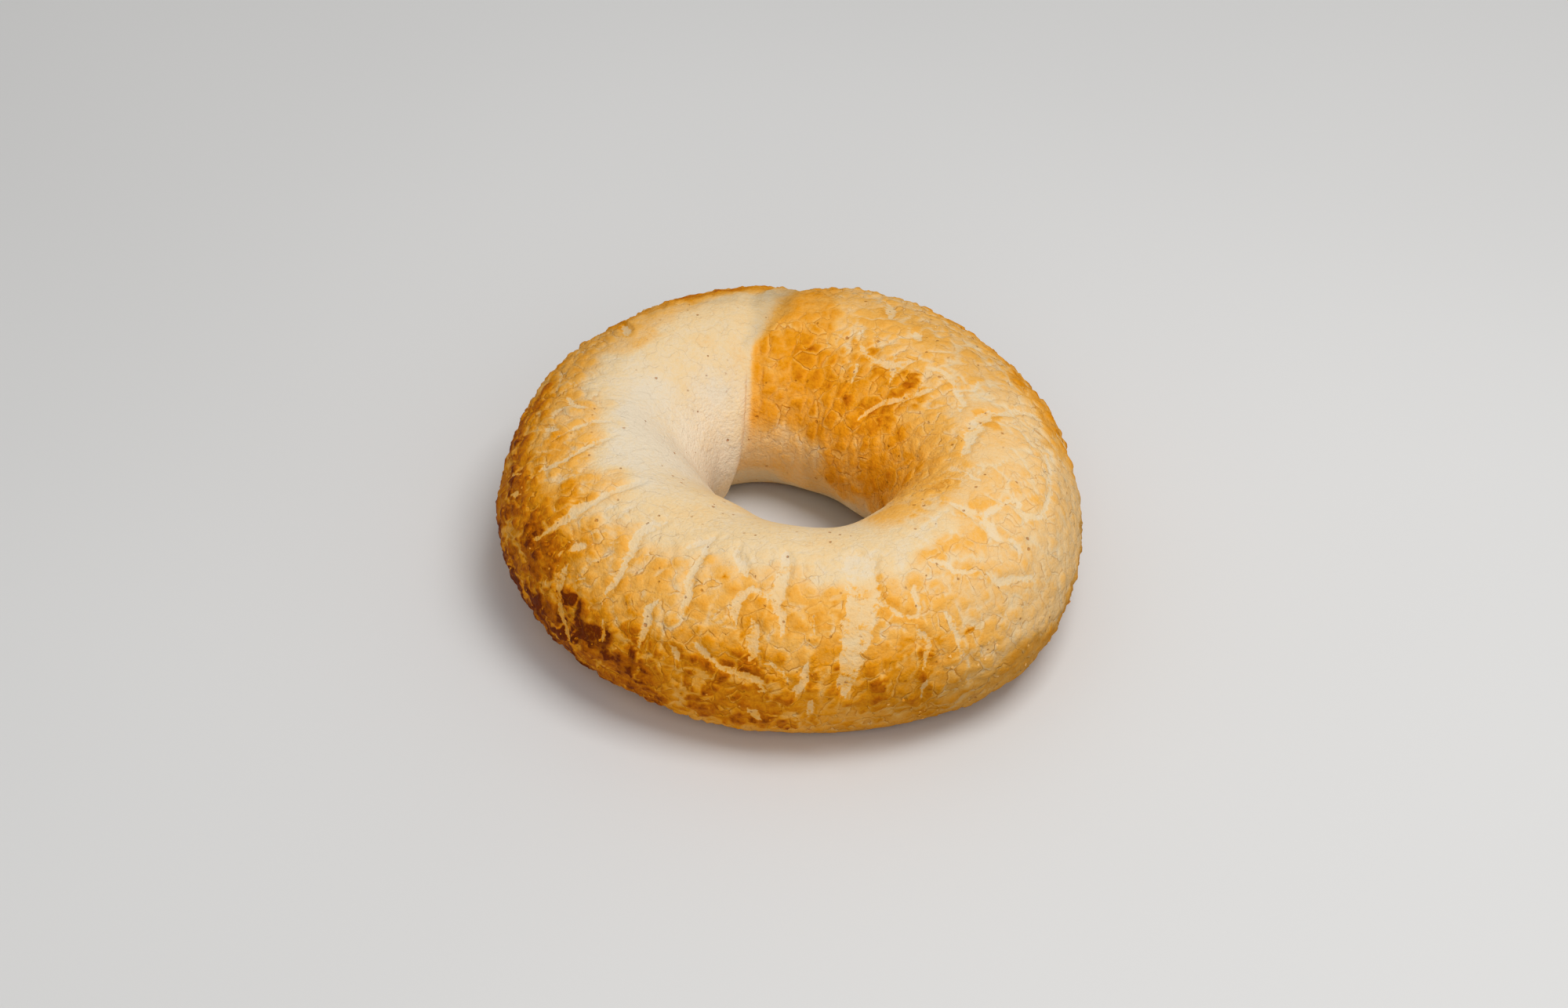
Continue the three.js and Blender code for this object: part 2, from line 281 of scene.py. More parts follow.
# Browning of the crust: ring angle and half span, round angle and half span, softness of both, strength
BROWNED = [
    # Back, right of the lap, and down into the hole
    (70, 48, 138, 22, 8, 13, 0.57),
    (88, 10, 112, 28, 4, 14, 0.5),
    (90, 8, 110, 5, 5, 6, 0.58),
    (16, 36, 160, 22, 16, 13, 0.56),
    (88, 34, 186, 16, 14, 12, 0.27),
    (71.5, 2.5, 131, 5, 3, 4, 0.62),
    (36, 2.5, 106, 3, 2.5, 3, 0.66),
    (30.5, 2.5, 110, 2, 2.5, 3, 0.68),
    (59, 4, 105, 3, 3, 3, 0.56),
    (20, 3, 113, 3, 3, 4, 0.6),
    (69, 3, 156, 5, 3, 5, 0.6),
    # Front and left, down to the base
    (252, 42, 0, 24, 14, 20, 0.6),
    (236, 28, -2, 20, 12, 18, 0.68),
    (214, 22, -16, 18, 14, 14, 0.83),
    (188, 24, 10, 24, 12, 30, 0.79),
    (187.5, 3, 62, 5, 4, 5, 0.58),
    (204.5, 3.5, 58, 9, 4, 6, 0.56),
    (214, 4, 53, 4, 3, 4, 0.52),
    (223.5, 4.5, 9, 9, 3, 5, 0.99),
    (234.5, 1.5, 8, 3, 2, 3, 0.86),
    (202, 1.5, 4, 3, 2, 4, 0.9),
    (208, 1.5, 4, 5, 1.5, 4, 0.84),
    (202, 10, -9, 3, 5, 5, 0.8),
    (114, 18, 58, 9, 8, 8, 0.6),
    (111, 8, 64, 7, 5, 6, 0.76),
    (88, 9, 66, 9, 7, 8, 0.5),
    (122, 18, 72, 10, 10, 10, 0.34),
    (190, 16, 66, 12, 12, 20, 0.34),
    (246, 32, 38, 14, 16, 18, 0.42),
    # Single spots
    (290.5, 0.7, 58, 1.4, 1.2, 2.2, 0.7),
    (257.5, 0.5, 61, 0.8, 1.0, 1.6, 0.72),
    (306, 0.5, 30, 0.8, 1.0, 1.6, 0.8),
    (259, 0.6, 2, 1.0, 1.0, 1.8, 0.95),
    # Front right and right
    (289.5, 3, 42, 26, 3, 8, 0.4),
    (287, 5, 12, 16, 5, 10, 0.48),
    (299, 8, 24, 26, 10, 16, 0.34),
    (0, 32, 84, 24, 16, 14, 0.24),
    (351, 24, 124, 14, 12, 14, 0.4),
    (320, 14, 112, 10, 12, 12, 0.36),
    (316, 34, -24, 16, 18, 14, 0.46),
    (0, 30, -20, 18, 16, 16, 0.34),
    (2, 3, 85, 4, 3, 3, 0.42),
    (326, 3, 78, 4, 4, 4, 0.36),
    (312, 4, 72, 5, 6, 6, 0.32),
    (318, 30, 24, 36, 14, 18, 0.24),
    (52, 26, 80, 22, 12, 14, 0.34),
    # Outer side at the back and the underside
    (95, 80, 8, 32, 22, 18, 0.54),
    (60, 12, -6, 12, 12, 12, 0.66),
    (118, 14, 4, 14, 12, 12, 0.64),
    (88, 8, 24, 10, 8, 10, 0.62),
    (150, 14, -6, 12, 12, 12, 0.66),
    (28, 14, 6, 14, 12, 12, 0.56),
    (148, 18, 48, 14, 12, 16, 0.46),
    (0, 180, -52, 14, 10, 14, 0.48),
    (0, 180, 270, 26, 10, 12, 0.58),
]

# Browning of the other crust, zones that stay floury, and zones darkened by painted shade or lightened by
# painted light, given in the same way
PALE_CRUST = 0.12
FLOURED = [
    (180, 16, 118, 12, 18, 16, 1.0),
    (166, 30, 165, 24, 16, 16, 0.9),
]
# Painted shade: the lower right, the right rim and the back rim made darker where the light falls off
PAINTED_SHADE_ZONES = [
    (328, 26, -26, 18, 20, 18, 0.3),
    (350, 30, 16, 16, 20, 16, 0.1),
    (90, 62, 62, 12, 16, 12, 0.1),
]
# Painted light: the walls of the hole made lighter where little light reaches
PAINTED_LIGHT_ZONES = [
    (144, 30, 184, 26, 16, 20, 0.14),
    (18, 36, 168, 20, 16, 16, 0.17),
    (68, 22, 152, 14, 14, 14, 0.07),
    (130, 8, 192, 14, 8, 10, 0.23),
    (95, 12, 190, 14, 8, 10, 0.2),
]

# Weights of the finer relief, given in the same way: where scales lift, where pale lines net the crust,
# where it is craggy and where flakes lie
SCALED = [
    (62, 40, 136, 34, 10, 16, 1.0),
    (252, 54, 6, 58, 16, 16, 1.0),
    (186, 28, 30, 44, 12, 16, 0.9),
    (334, 40, 16, 44, 16, 18, 0.8),
    (350, 50, -22, 26, 16, 16, 0.9),
    (95, 85, 4, 58, 20, 16, 0.9),
    (10, 40, 150, 36, 14, 14, 0.8),
]
NETTED = [
    (0, 44, 80, 24, 16, 12, 0.8),
    (40, 24, 92, 20, 10, 12, 0.8),
    (316, 22, 56, 22, 12, 12, 0.7),
    (252, 52, 14, 38, 14, 14, 0.8),
    (190, 26, 34, 34, 12, 12, 0.8),
    (95, 80, 18, 38, 18, 14, 0.8),
]
CRAGGY = [
    (262, 58, -22, 40, 16, 16, 1.0),
    (205, 20, 10, 34, 12, 14, 0.8),
    (340, 44, -24, 24, 16, 16, 1.0),
    (95, 85, -16, 40, 22, 16, 0.9),
    (98, 30, 60, 14, 10, 10, 1.2),
]
FLAKY = [
    (262, 40, -10, 18, 14, 14, 1.0),
    (214, 16, 12, 24, 12, 14, 0.8),
    (320, 20, -22, 12, 14, 12, 1.0),
    (95, 70, -8, 20, 18, 14, 0.7),
]


def length_setting(label, words, millimetres):
    """A length that a user can change."""
    return FloatProperty(
        name=label, description=words, default=millimetres * MM, unit="LENGTH", precision=5
    )


def colour_setting(label, words, value):
    """A colour that a user can change."""
    return FloatVectorProperty(name=label, description=words, default=value, subtype="COLOR")


class CrustShape(bpy.types.PropertyGroup):
    """Sizes of the crust's relief."""

    tear_depth: length_setting("Tear Depth", "Depth of the tears", 0.5)
    tear_wall: length_setting("Tear Wall", "Width of a tear's sloping wall", 0.8)
    rim_height: length_setting("Rim Height", "Rise of the crust beside a tear", 0.1)
    ragged: length_setting("Ragged Edge", "Wander of a tear's edge", 2.2)
    plate_size: length_setting("Plate Size", "Width of the plates between pale cracks", 6.4)
    plate_groove: length_setting("Plate Groove", "Depth of the cracks between plates", 0.2)
    scale_size: length_setting("Scale Size", "Width of the scales on a plate", 2.8)
    scale_lift: length_setting("Scale Lift", "Lift of one scale over the next", 0.46)
    crag_height: length_setting("Crag Height", "Height of the crags near the base", 0.42)
    grain_height: length_setting("Grain Height", "Height of the fine grain", 0.05)


class CrustColours(bpy.types.PropertyGroup):
    """Colours of the crust, from pale to burnt."""

    flour: colour_setting("Flour", "Whitest crust", (0.71, 0.60, 0.44))
    pale: colour_setting("Pale", "Crust that did not brown", (0.75, 0.55, 0.30))
    gold: colour_setting("Gold", "Lightly browned crust", (0.80, 0.41, 0.085))
    amber: colour_setting("Amber", "Browned crust", (0.72, 0.272, 0.007))
    brown: colour_setting("Brown", "Deeply browned crust", (0.47, 0.122, 0.002))
    burnt: colour_setting("Burnt", "Burnt crust", (0.14, 0.022, 0.0015))
    # Darker crust and painted shade in hairline cracks and pores
    shaded_crack: colour_setting("Crack", "Hairline cracks and pores", (0.44, 0.125, 0.004))


class FlakeSettings(bpy.types.PropertyGroup):
    """Size and number of the loose flakes."""

    size: length_setting("Flake Size", "Width of a flake", 0.8)
    density: FloatProperty(name="Flake Density", description="Flakes on a square metre", default=8.0e4)


class StageSettings(bpy.types.PropertyGroup):
    """Camera, lights and floor."""

    distance: FloatProperty(
        name="Camera Distance", description="From the lens to the bread", default=0.65, unit="LENGTH"
    )
    elevation: FloatProperty(
        name="Camera Elevation",
        description="Angle over the floor",
        default=math.radians(40),
        subtype="ANGLE",
    )
    lens: FloatProperty(name="Lens", description="Focal length in millimetres", default=79.1)
    key_power: FloatProperty(
        name="Key Power", description="Power of the key light", default=2.85, unit="POWER"
    )
    fill_power: FloatProperty(
        name="Fill Power", description="Power of the fill light", default=1.1, unit="POWER"
    )
    sky: FloatProperty(name="Sky", description="Strength of the light all round", default=0.42)
    floor: colour_setting("Floor", "Colour of the floor", (0.66, 0.655, 0.645))


# Rule of the rope's surface, on arrays of angles


def turn_between(start, end):
    """Signed turn from one angle to another, between -180 and 180 degrees."""
    return (end - start + 180.0) % 360.0 - 180.0


def smoothstep(value, low, high):
    """Smooth rise from 0 at low to 1 at high."""
    share = np.clip((value - low) / (high - low), 0.0, 1.0)
    return share * share * (3.0 - 2.0 * share)


def band(value, rise, fall):
    """1 between a soft rise and a soft fall, 0 outside them."""
    return smoothstep(value, *rise) * (1.0 - smoothstep(value, *fall))


def bulge_of(bulges, ring):
    """How far one side of the rope swells past the plain oval."""
    total = 0.0
    for middle, out, spread in bulges:
        total = total + out * np.exp(-((turn_between(middle, ring) / spread) ** 2))
    return total


def rope_radius(ring):
    """Distance of the rope's middle line from the ring's centre."""
    oval = RING_OVAL * np.cos(2.0 * np.radians(ring - OVAL_ANGLE))
    return RING_RADIUS + oval + (bulge_of(SIDE_BULGES, ring) - bulge_of(HOLE_BULGES, ring)) / 2.0


def rope_half_width(ring):
    """Half of the rope's width."""
    angle = np.radians(ring)
    thicker = BACK_SWELL * np.sin(angle) + DIAGONAL_SWELL * np.sin(2.0 * angle)
    return ROPE_HALF_WIDTH + thicker + (bulge_of(SIDE_BULGES, ring) + bulge_of(HOLE_BULGES, ring)) / 2.0


def rope_height(about):
    """Height over the base, with the underside pressed flat."""
    rise = np.sin(np.radians(about))
    reach = np.where(rise > 0.0, HEIGHT - WAIST_HEIGHT, WAIST_HEIGHT * UNDERSIDE_DROP)
    height = WAIST_HEIGHT + reach * rise
    pressed = np.maximum(height + BASE_BLEND, 0.0) ** 2 / (4.0 * BASE_BLEND)
    return np.where(height > BASE_BLEND, height, pressed)


def outward_radius(ring, about):
    """Distance of a place from the ring's axis."""
    return rope_radius(ring) + rope_half_width(ring) * np.cos(np.radians(about))


def rope_point(ring, about):
    """Places on the smooth rope."""
    radius = outward_radius(ring, about)
    angle = np.radians(ring)
    east = RING_CENTRE[0] + radius * np.cos(angle)
    north = RING_CENTRE[1] + radius * np.sin(angle)
    return np.stack([east, north, rope_height(about)], axis=-1)


def rope_normal(ring, about):
    """Outward directions of the smooth rope."""
    along = rope_point(ring + ANGLE_STEP, about) - rope_point(ring - ANGLE_STEP, about)
    across = rope_point(ring, about + ANGLE_STEP) - rope_point(ring, about - ANGLE_STEP)
    normal = np.cross(along, across)
    return normal / np.linalg.norm(normal, axis=-1, keepdims=True)


def hand_swell(ring, about):
    """Low waves left by the hands that rolled the rope."""
    total = 0.0
    for along, across, phase in SWELL_WAVES:
        total = total + np.sin(along * np.radians(ring) + across * np.radians(about) + phase)
    return SWELL_HEIGHT * total


def lap_angle(about):
    """Ring angle of the lap's crease."""
    return LAP_ANGLE + LAP_LEAN * (np.clip(about, LAP_OUTER_END, LAP_INNER_END) - LAP_ROUND)


def lap_distance(ring, about):
    """Distance along the ring from the lap's crease, positive on the lip."""
    return np.radians(turn_between(lap_angle(about), ring)) * outward_radius(ring, about)


def narrowing(about):
    """How far the lap's opening has narrowed, from 0 on top to 1 in the hole."""
    return smoothstep(about, OPENING_WIDE_ROUND, OPENING_NARROW_ROUND)


def opening_width(about):
    """Width of the lap's opening, wide on top and narrow in the hole."""
    return OPENING_WIDE + (OPENING_NARROW - OPENING_WIDE) * narrowing(about)


def lap_relief(ring, about):
    """Height of the lip and depth of the opening: a shallow valley on top, a sharp crease in the hole."""
    distance = lap_distance(ring, about)
    width = opening_width(about)
    sharp = narrowing(about)
    creased = smoothstep(about, CREASE_START, CREASE_FULL)
    valley = creased + (1.0 - creased) * smoothstep(-distance, 0.0, VALLEY_SHARE * width + VALLEY_MARGIN)
    wall_foot = OPENING_WALL_FOOT * width * (1.0 - sharp)
    wall_top = OPENING_WALL_TOP * width + OPENING_RAMP * sharp
    trench = -OPENING_DEPTH * valley * (1.0 - smoothstep(-distance, wall_foot, wall_top))
    share = smoothstep(about, LAP_ROUND, LAP_INNER_END)
    proud = LIP_PROUD_TOP + (LIP_PROUD_HOLE - LIP_PROUD_TOP) * share
    edge = np.clip(distance / LIP_EDGE, 0.0, 1.0)
    crisp = np.sqrt(edge * (2.0 - edge))
    soft = smoothstep(distance, 0.0, 2.0 * LIP_EDGE)
    lip = proud * (creased * crisp + (1.0 - creased) * soft) * np.exp(-((distance / LIP_FADE) ** 2))
    return np.where(distance < -ON_CREASE, trench, lip)


def beside_lap(ring, about, foot, top, margin, lip):
    """0 at the lap's crease, rising to 1 across its opening on one side and its lip on the other."""
    distance = lap_distance(ring, about)
    width = opening_width(about)
    before = smoothstep(-distance, foot * width, top * width + margin)
    return np.where(distance < 0.0, before, smoothstep(distance, *lip))


def relief_share(about):
    """Share of the relief that shows: none on the base, all of it higher up."""
    return smoothstep(rope_height(about), RELIEF_START, RELIEF_FULL)


def crust_point(ring, about):
    """Places on the crust, with its swells and lap."""
    relief = (hand_swell(ring, about) + lap_relief(ring, about)) * relief_share(about)
    return rope_point(ring, about) + rope_normal(ring, about) * relief[..., None]


# Zones of the crust

NOISE_WAVES = 14
NOISE_SPREAD = (0.6, 1.7)
ZONE_POWER = 8

# Wander of the zones' edges in degrees: reach, size of the waves in millimetres, seed
ALONG_WANDER = [(1.4, 9.0, 3), (0.9, 3.5, 4)]
ACROSS_WANDER = [(3.0, 9.0, 5), (2.0, 3.5, 6)]


def slow_noise(points, size, seed):
    """Smooth noise around 0 on places of the crust, with features about as wide as size."""
    draw = np.random.default_rng(seed)
    total = np.zeros(points.shape[:-1])
    for _ in range(NOISE_WAVES):
        direction = draw.normal(size=3)
        direction *= draw.uniform(*NOISE_SPREAD) * math.pi / size / np.linalg.norm(direction)
        total += np.sin(points @ direction + draw.uniform(0.0, 2.0 * math.pi))
    return total / math.sqrt(NOISE_WAVES / 2.0)


def wandered(ring, about):
    """Angles moved about a little, so that zones get uneven edges."""
    points = rope_point(ring, about)
    along = sum(reach * slow_noise(points, size, seed) for reach, size, seed in ALONG_WANDER)
    across = sum(reach * slow_noise(points, size, seed) for reach, size, seed in ACROSS_WANDER)
    return ring + along, about + across


def zone_weight(zones, ring, about):
    """Weight of soft-edged zones on the rope, joined smoothly where they meet."""
    ring, about = wandered(ring, about)
    total = np.zeros_like(ring)
    for middle, half, round_middle, round_half, soft, round_soft, strength in zones:
        along = np.maximum(np.abs(turn_between(middle, ring)) - half, 0.0) / soft
        across = np.maximum(np.abs(turn_between(round_middle, about)) - round_half, 0.0) / round_soft
        total += (strength * np.exp(-(along**2) - across**2)) ** ZONE_POWER
    return total ** (1.0 / ZONE_POWER)


def browning(ring, about):
    """Browning from 0, pale, to 1, burnt; the lip and the opening of the lap stay pale."""
    brown = np.maximum(zone_weight(BROWNED, ring, about), PALE_CRUST)
    before_top = smoothstep(about, *ROUND_BEFORE_LAP)
    lip_top = smoothstep(about, *ROUND_ON_LIP)
    top = np.where(lap_distance(ring, about) < 0.0, before_top, lip_top)
    near = np.abs(turn_between(LAP_ANGLE, ring)) < LAP_REACH
    held_back = np.where(near, top * (1.0 - beside_lap(ring, about, *PALE_BEFORE, PALE_LIP)), 0.0)
    browned = PALE_CRUST + (brown - PALE_CRUST) * (1.0 - held_back)
    return browned * (1.0 - zone_weight(FLOURED, ring, about))


def lap_opening(ring, about):
    """1 in the bare valley of the lap's opening, 0 on the crust."""
    share = -lap_distance(*wandered(ring, about)) / opening_width(about)
    return band(share, VALLEY_RISE, VALLEY_FALL) * band(about, VALLEY_ROUND_RISE, VALLEY_ROUND_FALL)


# Meshes from arrays


def base_edge():
    """Round angle at which the underside leaves the flat of the base."""
    return -math.degrees(math.asin((WAIST_HEIGHT + BASE_BLEND) / (WAIST_HEIGHT * UNDERSIDE_DROP)))


def row_angles():
    """Round angles of the rows: fine where the crust shows, coarse in the hole and on the base."""
    start = base_edge()
    fine = np.linspace(start, 180.0 - start, ROW_SAMPLES)
    density = 1.0 + ROW_FINENESS * band(fine, FINE_ROWS_RISE, FINE_ROWS_FALL)
    count = np.concatenate([[0.0], np.cumsum(density[1:])])
    shown = np.interp(np.linspace(0.0, count[-1], SHOWN_ROWS), count, fine)
    base = np.linspace(180.0 - start, 360.0 + start, BASE_ROWS + 1)[1:-1]
    return np.concatenate([shown, base])


def ring_angles(about):
    """Ring angles of one row's columns, crowded towards the lap and leaning with its crease."""
    turn = 2.0 * math.pi * np.arange(COLUMNS) / COLUMNS
    from_lap = turn - LAP_CROWDING * np.sin(turn)
    lean = (lap_angle(about) - LAP_ANGLE) * (1.0 + np.cos(from_lap)) / 2.0
    return LAP_ANGLE + np.degrees(from_lap) + lean


def wrapped_quads(rows, columns):
    """Faces of a grid that closes on itself both ways."""
    row, column = np.meshgrid(np.arange(rows), np.arange(columns), indexing="ij")
    next_row = (row + 1) % rows
    next_column = (column + 1) % columns
    corners = [
        row * columns + column,
        row * columns + next_column,
        next_row * columns + next_column,
        next_row * columns + column,
    ]
    return np.stack(corners, axis=-1).reshape(-1, 4)


def mesh_object(name, points, faces):
    """A linked object whose mesh has these points, given in millimetres, and faces."""
    mesh = bpy.data.meshes.new(name)
    mesh.from_pydata((points * MM).tolist(), [], faces.tolist())
    mesh.update()
    piece = bpy.data.objects.new(name, mesh)
    bpy.context.scene.collection.objects.link(piece)
    return piece


def give_values(piece, name, values):
    """Stores one number for each vertex."""
    attribute = piece.data.attributes.new(name, "FLOAT", "POINT")
    attribute.data.foreach_set("value", np.ascontiguousarray(values, dtype=np.float32).ravel())


def plain_ring():
    """The crust before its fine relief, with the values that the relief and the finish read."""
    rows = row_angles()
    about = np.repeat(rows[:, None], COLUMNS, axis=1)
    ring = np.stack([ring_angles(row) for row in rows])
    points = crust_point(ring, about).reshape(-1, 3)
    piece = mesh_object(CRUST_NAME, points, wrapped_quads(len(rows), COLUMNS))
    smooth_lap = 1.0 - beside_lap(ring, about, *SMOOTH_BEFORE, SMOOTH_LIP)
    cracked = 1.0 - smoothstep(about, *ROUND_BEFORE_LAP) * smooth_lap
    values = {
        "shown": relief_share(about),
        "brown": browning(ring, about),
        "scaled": zone_weight(SCALED, ring, about) * cracked,
        "netted": zone_weight(NETTED, ring, about) * cracked,
        "opening": lap_opening(ring, about),
        # Painted shade, less painted light
        "dull": zone_weight(PAINTED_SHADE_ZONES, ring, about) - zone_weight(PAINTED_LIGHT_ZONES, ring, about),
        "craggy": zone_weight(CRAGGY, ring, about),
        "flaky": zone_weight(FLAKY, ring, about),
    }
    for name, value in values.items():
        give_values(piece, name, value)
    return piece


# Floors of the tears, from their left edge to their right

LANE_SHARES = (1.0, 0.5, 0.0, -0.5, -1.0)
LANES = len(LANE_SHARES)
TEAR_STEP = 0.7
TEAR_FEWEST_STEPS = 4
TEAR_TIP = 1.6
TEAR_FRINGE = 0.12
TEAR_NARROWEST = 0.1
TEAR_RAGGED = 0.16
TEAR_SEED = 7


def tear_lanes(path, draw):
    """Places across a tear's floor at even steps along its path, and the tear's width at each."""
    corners = np.array(path, dtype=float)
    places = rope_point(corners[:, 0], corners[:, 1])
    lengths = np.concatenate([[0.0], np.cumsum(np.linalg.norm(np.diff(places, axis=0), axis=1))])
    steps = np.linspace(0.0, lengths[-1], max(int(lengths[-1] / TEAR_STEP), TEAR_FEWEST_STEPS) + 1)
    ring, about, width = (np.interp(steps, lengths, column) for column in corners.T)
    tip = np.minimum(np.minimum(steps, lengths[-1] - steps) / TEAR_TIP, 1.0)
    half = 0.5 * np.maximum(width - TEAR_FRINGE, TEAR_NARROWEST) * np.sqrt(tip)
    left = half * (1.0 + TEAR_RAGGED * draw.normal(size=len(steps)))
    right = half * (1.0 + TEAR_RAGGED * draw.normal(size=len(steps)))

    along_ring = crust_point(ring + ANGLE_STEP, about) - crust_point(ring - ANGLE_STEP, about)
    along_round = crust_point(ring, about + ANGLE_STEP) - crust_point(ring, about - ANGLE_STEP)
    side = np.cross(rope_normal(ring, about), np.gradient(crust_point(ring, about), axis=0))
    side /= np.linalg.norm(side, axis=-1, keepdims=True)
    ring_share = 2.0 * ANGLE_STEP * np.sum(side * along_ring, axis=-1) / np.sum(along_ring**2, axis=-1)
    round_share = 2.0 * ANGLE_STEP * np.sum(side * along_round, axis=-1) / np.sum(along_round**2, axis=-1)
    offsets = np.stack([share * (left if share > 0.0 else right) for share in LANE_SHARES], axis=1)
    lane_ring = ring[:, None] + ring_share[:, None] * offsets
    lane_round = about[:, None] + round_share[:, None] * offsets
    return crust_point(lane_ring, lane_round), np.repeat(width[:, None], LANES, axis=1)


def tear_floors():
    """One mesh of flat ribbons, the floors of all tears."""
    draw = np.random.default_rng(TEAR_SEED)
    points = []
    widths = []
    faces = []
    count = 0
    for path in TEARS:
        ribbon, width = tear_lanes(path, draw)
        stations = len(ribbon)
        for station in range(stations - 1):
            for lane in range(LANES - 1):
                corner = count + LANES * station + lane
                faces.append([corner, corner + 1, corner + LANES + 1, corner + LANES])
        points.append(ribbon.reshape(-1, 3))
        widths.append(width.ravel())
        count += LANES * stations
    piece = mesh_object("tear_floors", np.concatenate(points), np.array(faces))
    give_values(piece, "width", np.concatenate(widths))
    return piece


# Node trees as Python expressions


class Wire:
    """A socket of a node tree; arithmetic on it adds Math nodes."""

    def __init__(self, board, socket):
        self.board = board
        self.socket = socket

    def __add__(self, other):
        return self.board.math("ADD", self, other)

    __radd__ = __add__

    def __sub__(self, other):
        return self.board.math("SUBTRACT", self, other)

    def __rsub__(self, other):
        return self.board.math("SUBTRACT", other, self)

    def __mul__(self, other):
        return self.board.math("MULTIPLY", self, other)

    __rmul__ = __mul__

    def __truediv__(self, other):
        return self.board.math("DIVIDE", self, other)

    def __rtruediv__(self, other):
        return self.board.math("DIVIDE", other, self)


class Board:
    """A node tree that is being wired."""

    def __init__(self, tree):
        self.tree = tree

    def node(self, kind, settings=None, sockets=None):
        """Adds a node: its settings first, then the values or wires of its sockets."""
        node = self.tree.nodes.new(kind)
        for name, value in (settings or {}).items():
            if name == "stops":
                self.set_stops(node.color_ramp, value)
            else:
                setattr(node, name, value)
        for name, value in (sockets or {}).items():
            if isinstance(value, Wire):
                self.tree.links.new(value.socket, node.inputs[name])
            else:
                node.inputs[name].default_value = value
        return node

    def wire(self, kind, output=0, settings=None, sockets=None):
        """Adds a node and gives one of its outputs."""
        return self.output(self.node(kind, settings, sockets), output)

    def output(self, node, name):
        """One output of a node."""
        return Wire(self, node.outputs[name])

    @staticmethod
    def set_stops(ramp, stops):
        """Sets a colour ramp's stops."""
        while len(ramp.elements) < len(stops):
            ramp.elements.new(1.0)
        for element, (position, colour) in zip(ramp.elements, stops):
            element.position = position
            element.color = (*colour, 1.0)

    def math(self, operation, first, second):
        """A Math node on two values."""
        return self.wire("ShaderNodeMath", 0, {"operation": operation}, {0: first, 1: second})

    def smooth(self, value, low, high):
        """Smooth rise from 0 at low to 1 at high."""
        sockets = {"Value": value, "From Min": low, "From Max": high}
        return self.wire("ShaderNodeMapRange", 0, {"interpolation_type": "SMOOTHSTEP"}, sockets)

    def band(self, value, rise, fall):
        """1 between a soft rise and a soft fall, 0 outside them."""
        return self.smooth(value, *rise) * (1.0 - self.smooth(value, *fall))

    def clamp(self, value, low=0.0, high=1.0):
        """A value kept between two limits."""
        return self.wire("ShaderNodeClamp", 0, None, {"Value": value, "Min": low, "Max": high})

    def vector(self, operation, first, second, output="Vector"):
        """A Vector Math node on two vectors."""
        return self.wire("ShaderNodeVectorMath", output, {"operation": operation}, {0: first, 1: second})

    def scaled(self, vector, factor):
        """A vector or a colour times a value."""
        return self.wire("ShaderNodeVectorMath", 0, {"operation": "SCALE"}, {0: vector, "Scale": factor})

    def part(self, vector, index):
        """One part of a vector or a colour."""
        return self.wire("ShaderNodeSeparateXYZ", index, None, {0: vector})

    def blend(self, factor, first, second):
        """A mix of two colours."""
        return self.wire("ShaderNodeMix", 2, {"data_type": "RGBA"}, {0: factor, 6: first, 7: second})

    def noise(self, place, size, detail=2.0, roughness=0.5):
        """Noise around 0, mostly between -1 and 1, whose features are about as wide as size."""
        sockets = {"Vector": place, "Scale": 1.0 / size, "Detail": detail, "Roughness": roughness}
        return (self.wire("ShaderNodeTexNoise", 0, None, sockets) - 0.5) * 4.0

    def wander(self, place, size, reach):
        """Places moved about by noise."""
        sockets = {"Vector": place, "Scale": 1.0 / size, "Detail": 2.0}
        colour = self.wire("ShaderNodeTexNoise", 1, None, sockets)
        centred = self.vector("SUBTRACT", colour, (0.5, 0.5, 0.5))
        return self.vector("ADD", place, self.scaled(centred, reach))

    def cells(self, place, size, feature):
        """A node of cells about as wide as size."""
        settings = {"feature": feature, "voronoi_dimensions": "3D"}
        return self.node("ShaderNodeTexVoronoi", settings, {"Vector": place, "Scale": 1.0 / size})

    def cell_edge(self, place, size):
        """Distance to the edge of a cell."""
        return self.output(self.cells(place, size, "DISTANCE_TO_EDGE"), "Distance") * size

    def cell_value(self, place, size):
        """A random value around 0 for each cell."""
        return self.part(self.output(self.cells(place, size, "F1"), "Color"), 0) - 0.5


def new_tree(name, inputs):
    """The board of an empty geometry tree, and the wires of its inputs by their names."""
    tree = bpy.data.node_groups.new(name, "GeometryNodeTree")
    tree.is_modifier = True
    tree.interface.new_socket("Geometry", in_out="INPUT", socket_type="NodeSocketGeometry")
    for label, kind in inputs.items():
        tree.interface.new_socket(label, in_out="INPUT", socket_type=kind)
    tree.interface.new_socket("Geometry", in_out="OUTPUT", socket_type="NodeSocketGeometry")
    board = Board(tree)
    group = board.node("NodeGroupInput")
    return board, {socket.name: Wire(board, socket) for socket in group.outputs if socket.name}


def closed_tree(board, geometry, finish):
    """Ends a geometry tree with real geometry that has its material."""
    geometry = board.wire("GeometryNodeRealizeInstances", 0, None, {"Geometry": geometry})
    sockets = {"Geometry": geometry, "Material": finish}
    geometry = board.wire("GeometryNodeSetMaterial", 0, None, sockets)
    board.node("NodeGroupOutput", None, {"Geometry": geometry})
    return board.tree


def named_value(board, name):
    """A stored value of the mesh, in geometry nodes."""
    return board.wire("GeometryNodeInputNamedAttribute", 0, {"data_type": "FLOAT"}, {"Name": name})


def stored(board, geometry, name, value, kind, domain="POINT"):
    """Geometry with a value stored for each vertex or each instance."""
    sockets = {"Geometry": geometry, "Name": name, "Value": value}
    settings = {"data_type": kind, "domain": domain}
    return board.wire("GeometryNodeStoreNamedAttribute", 0, settings, sockets)


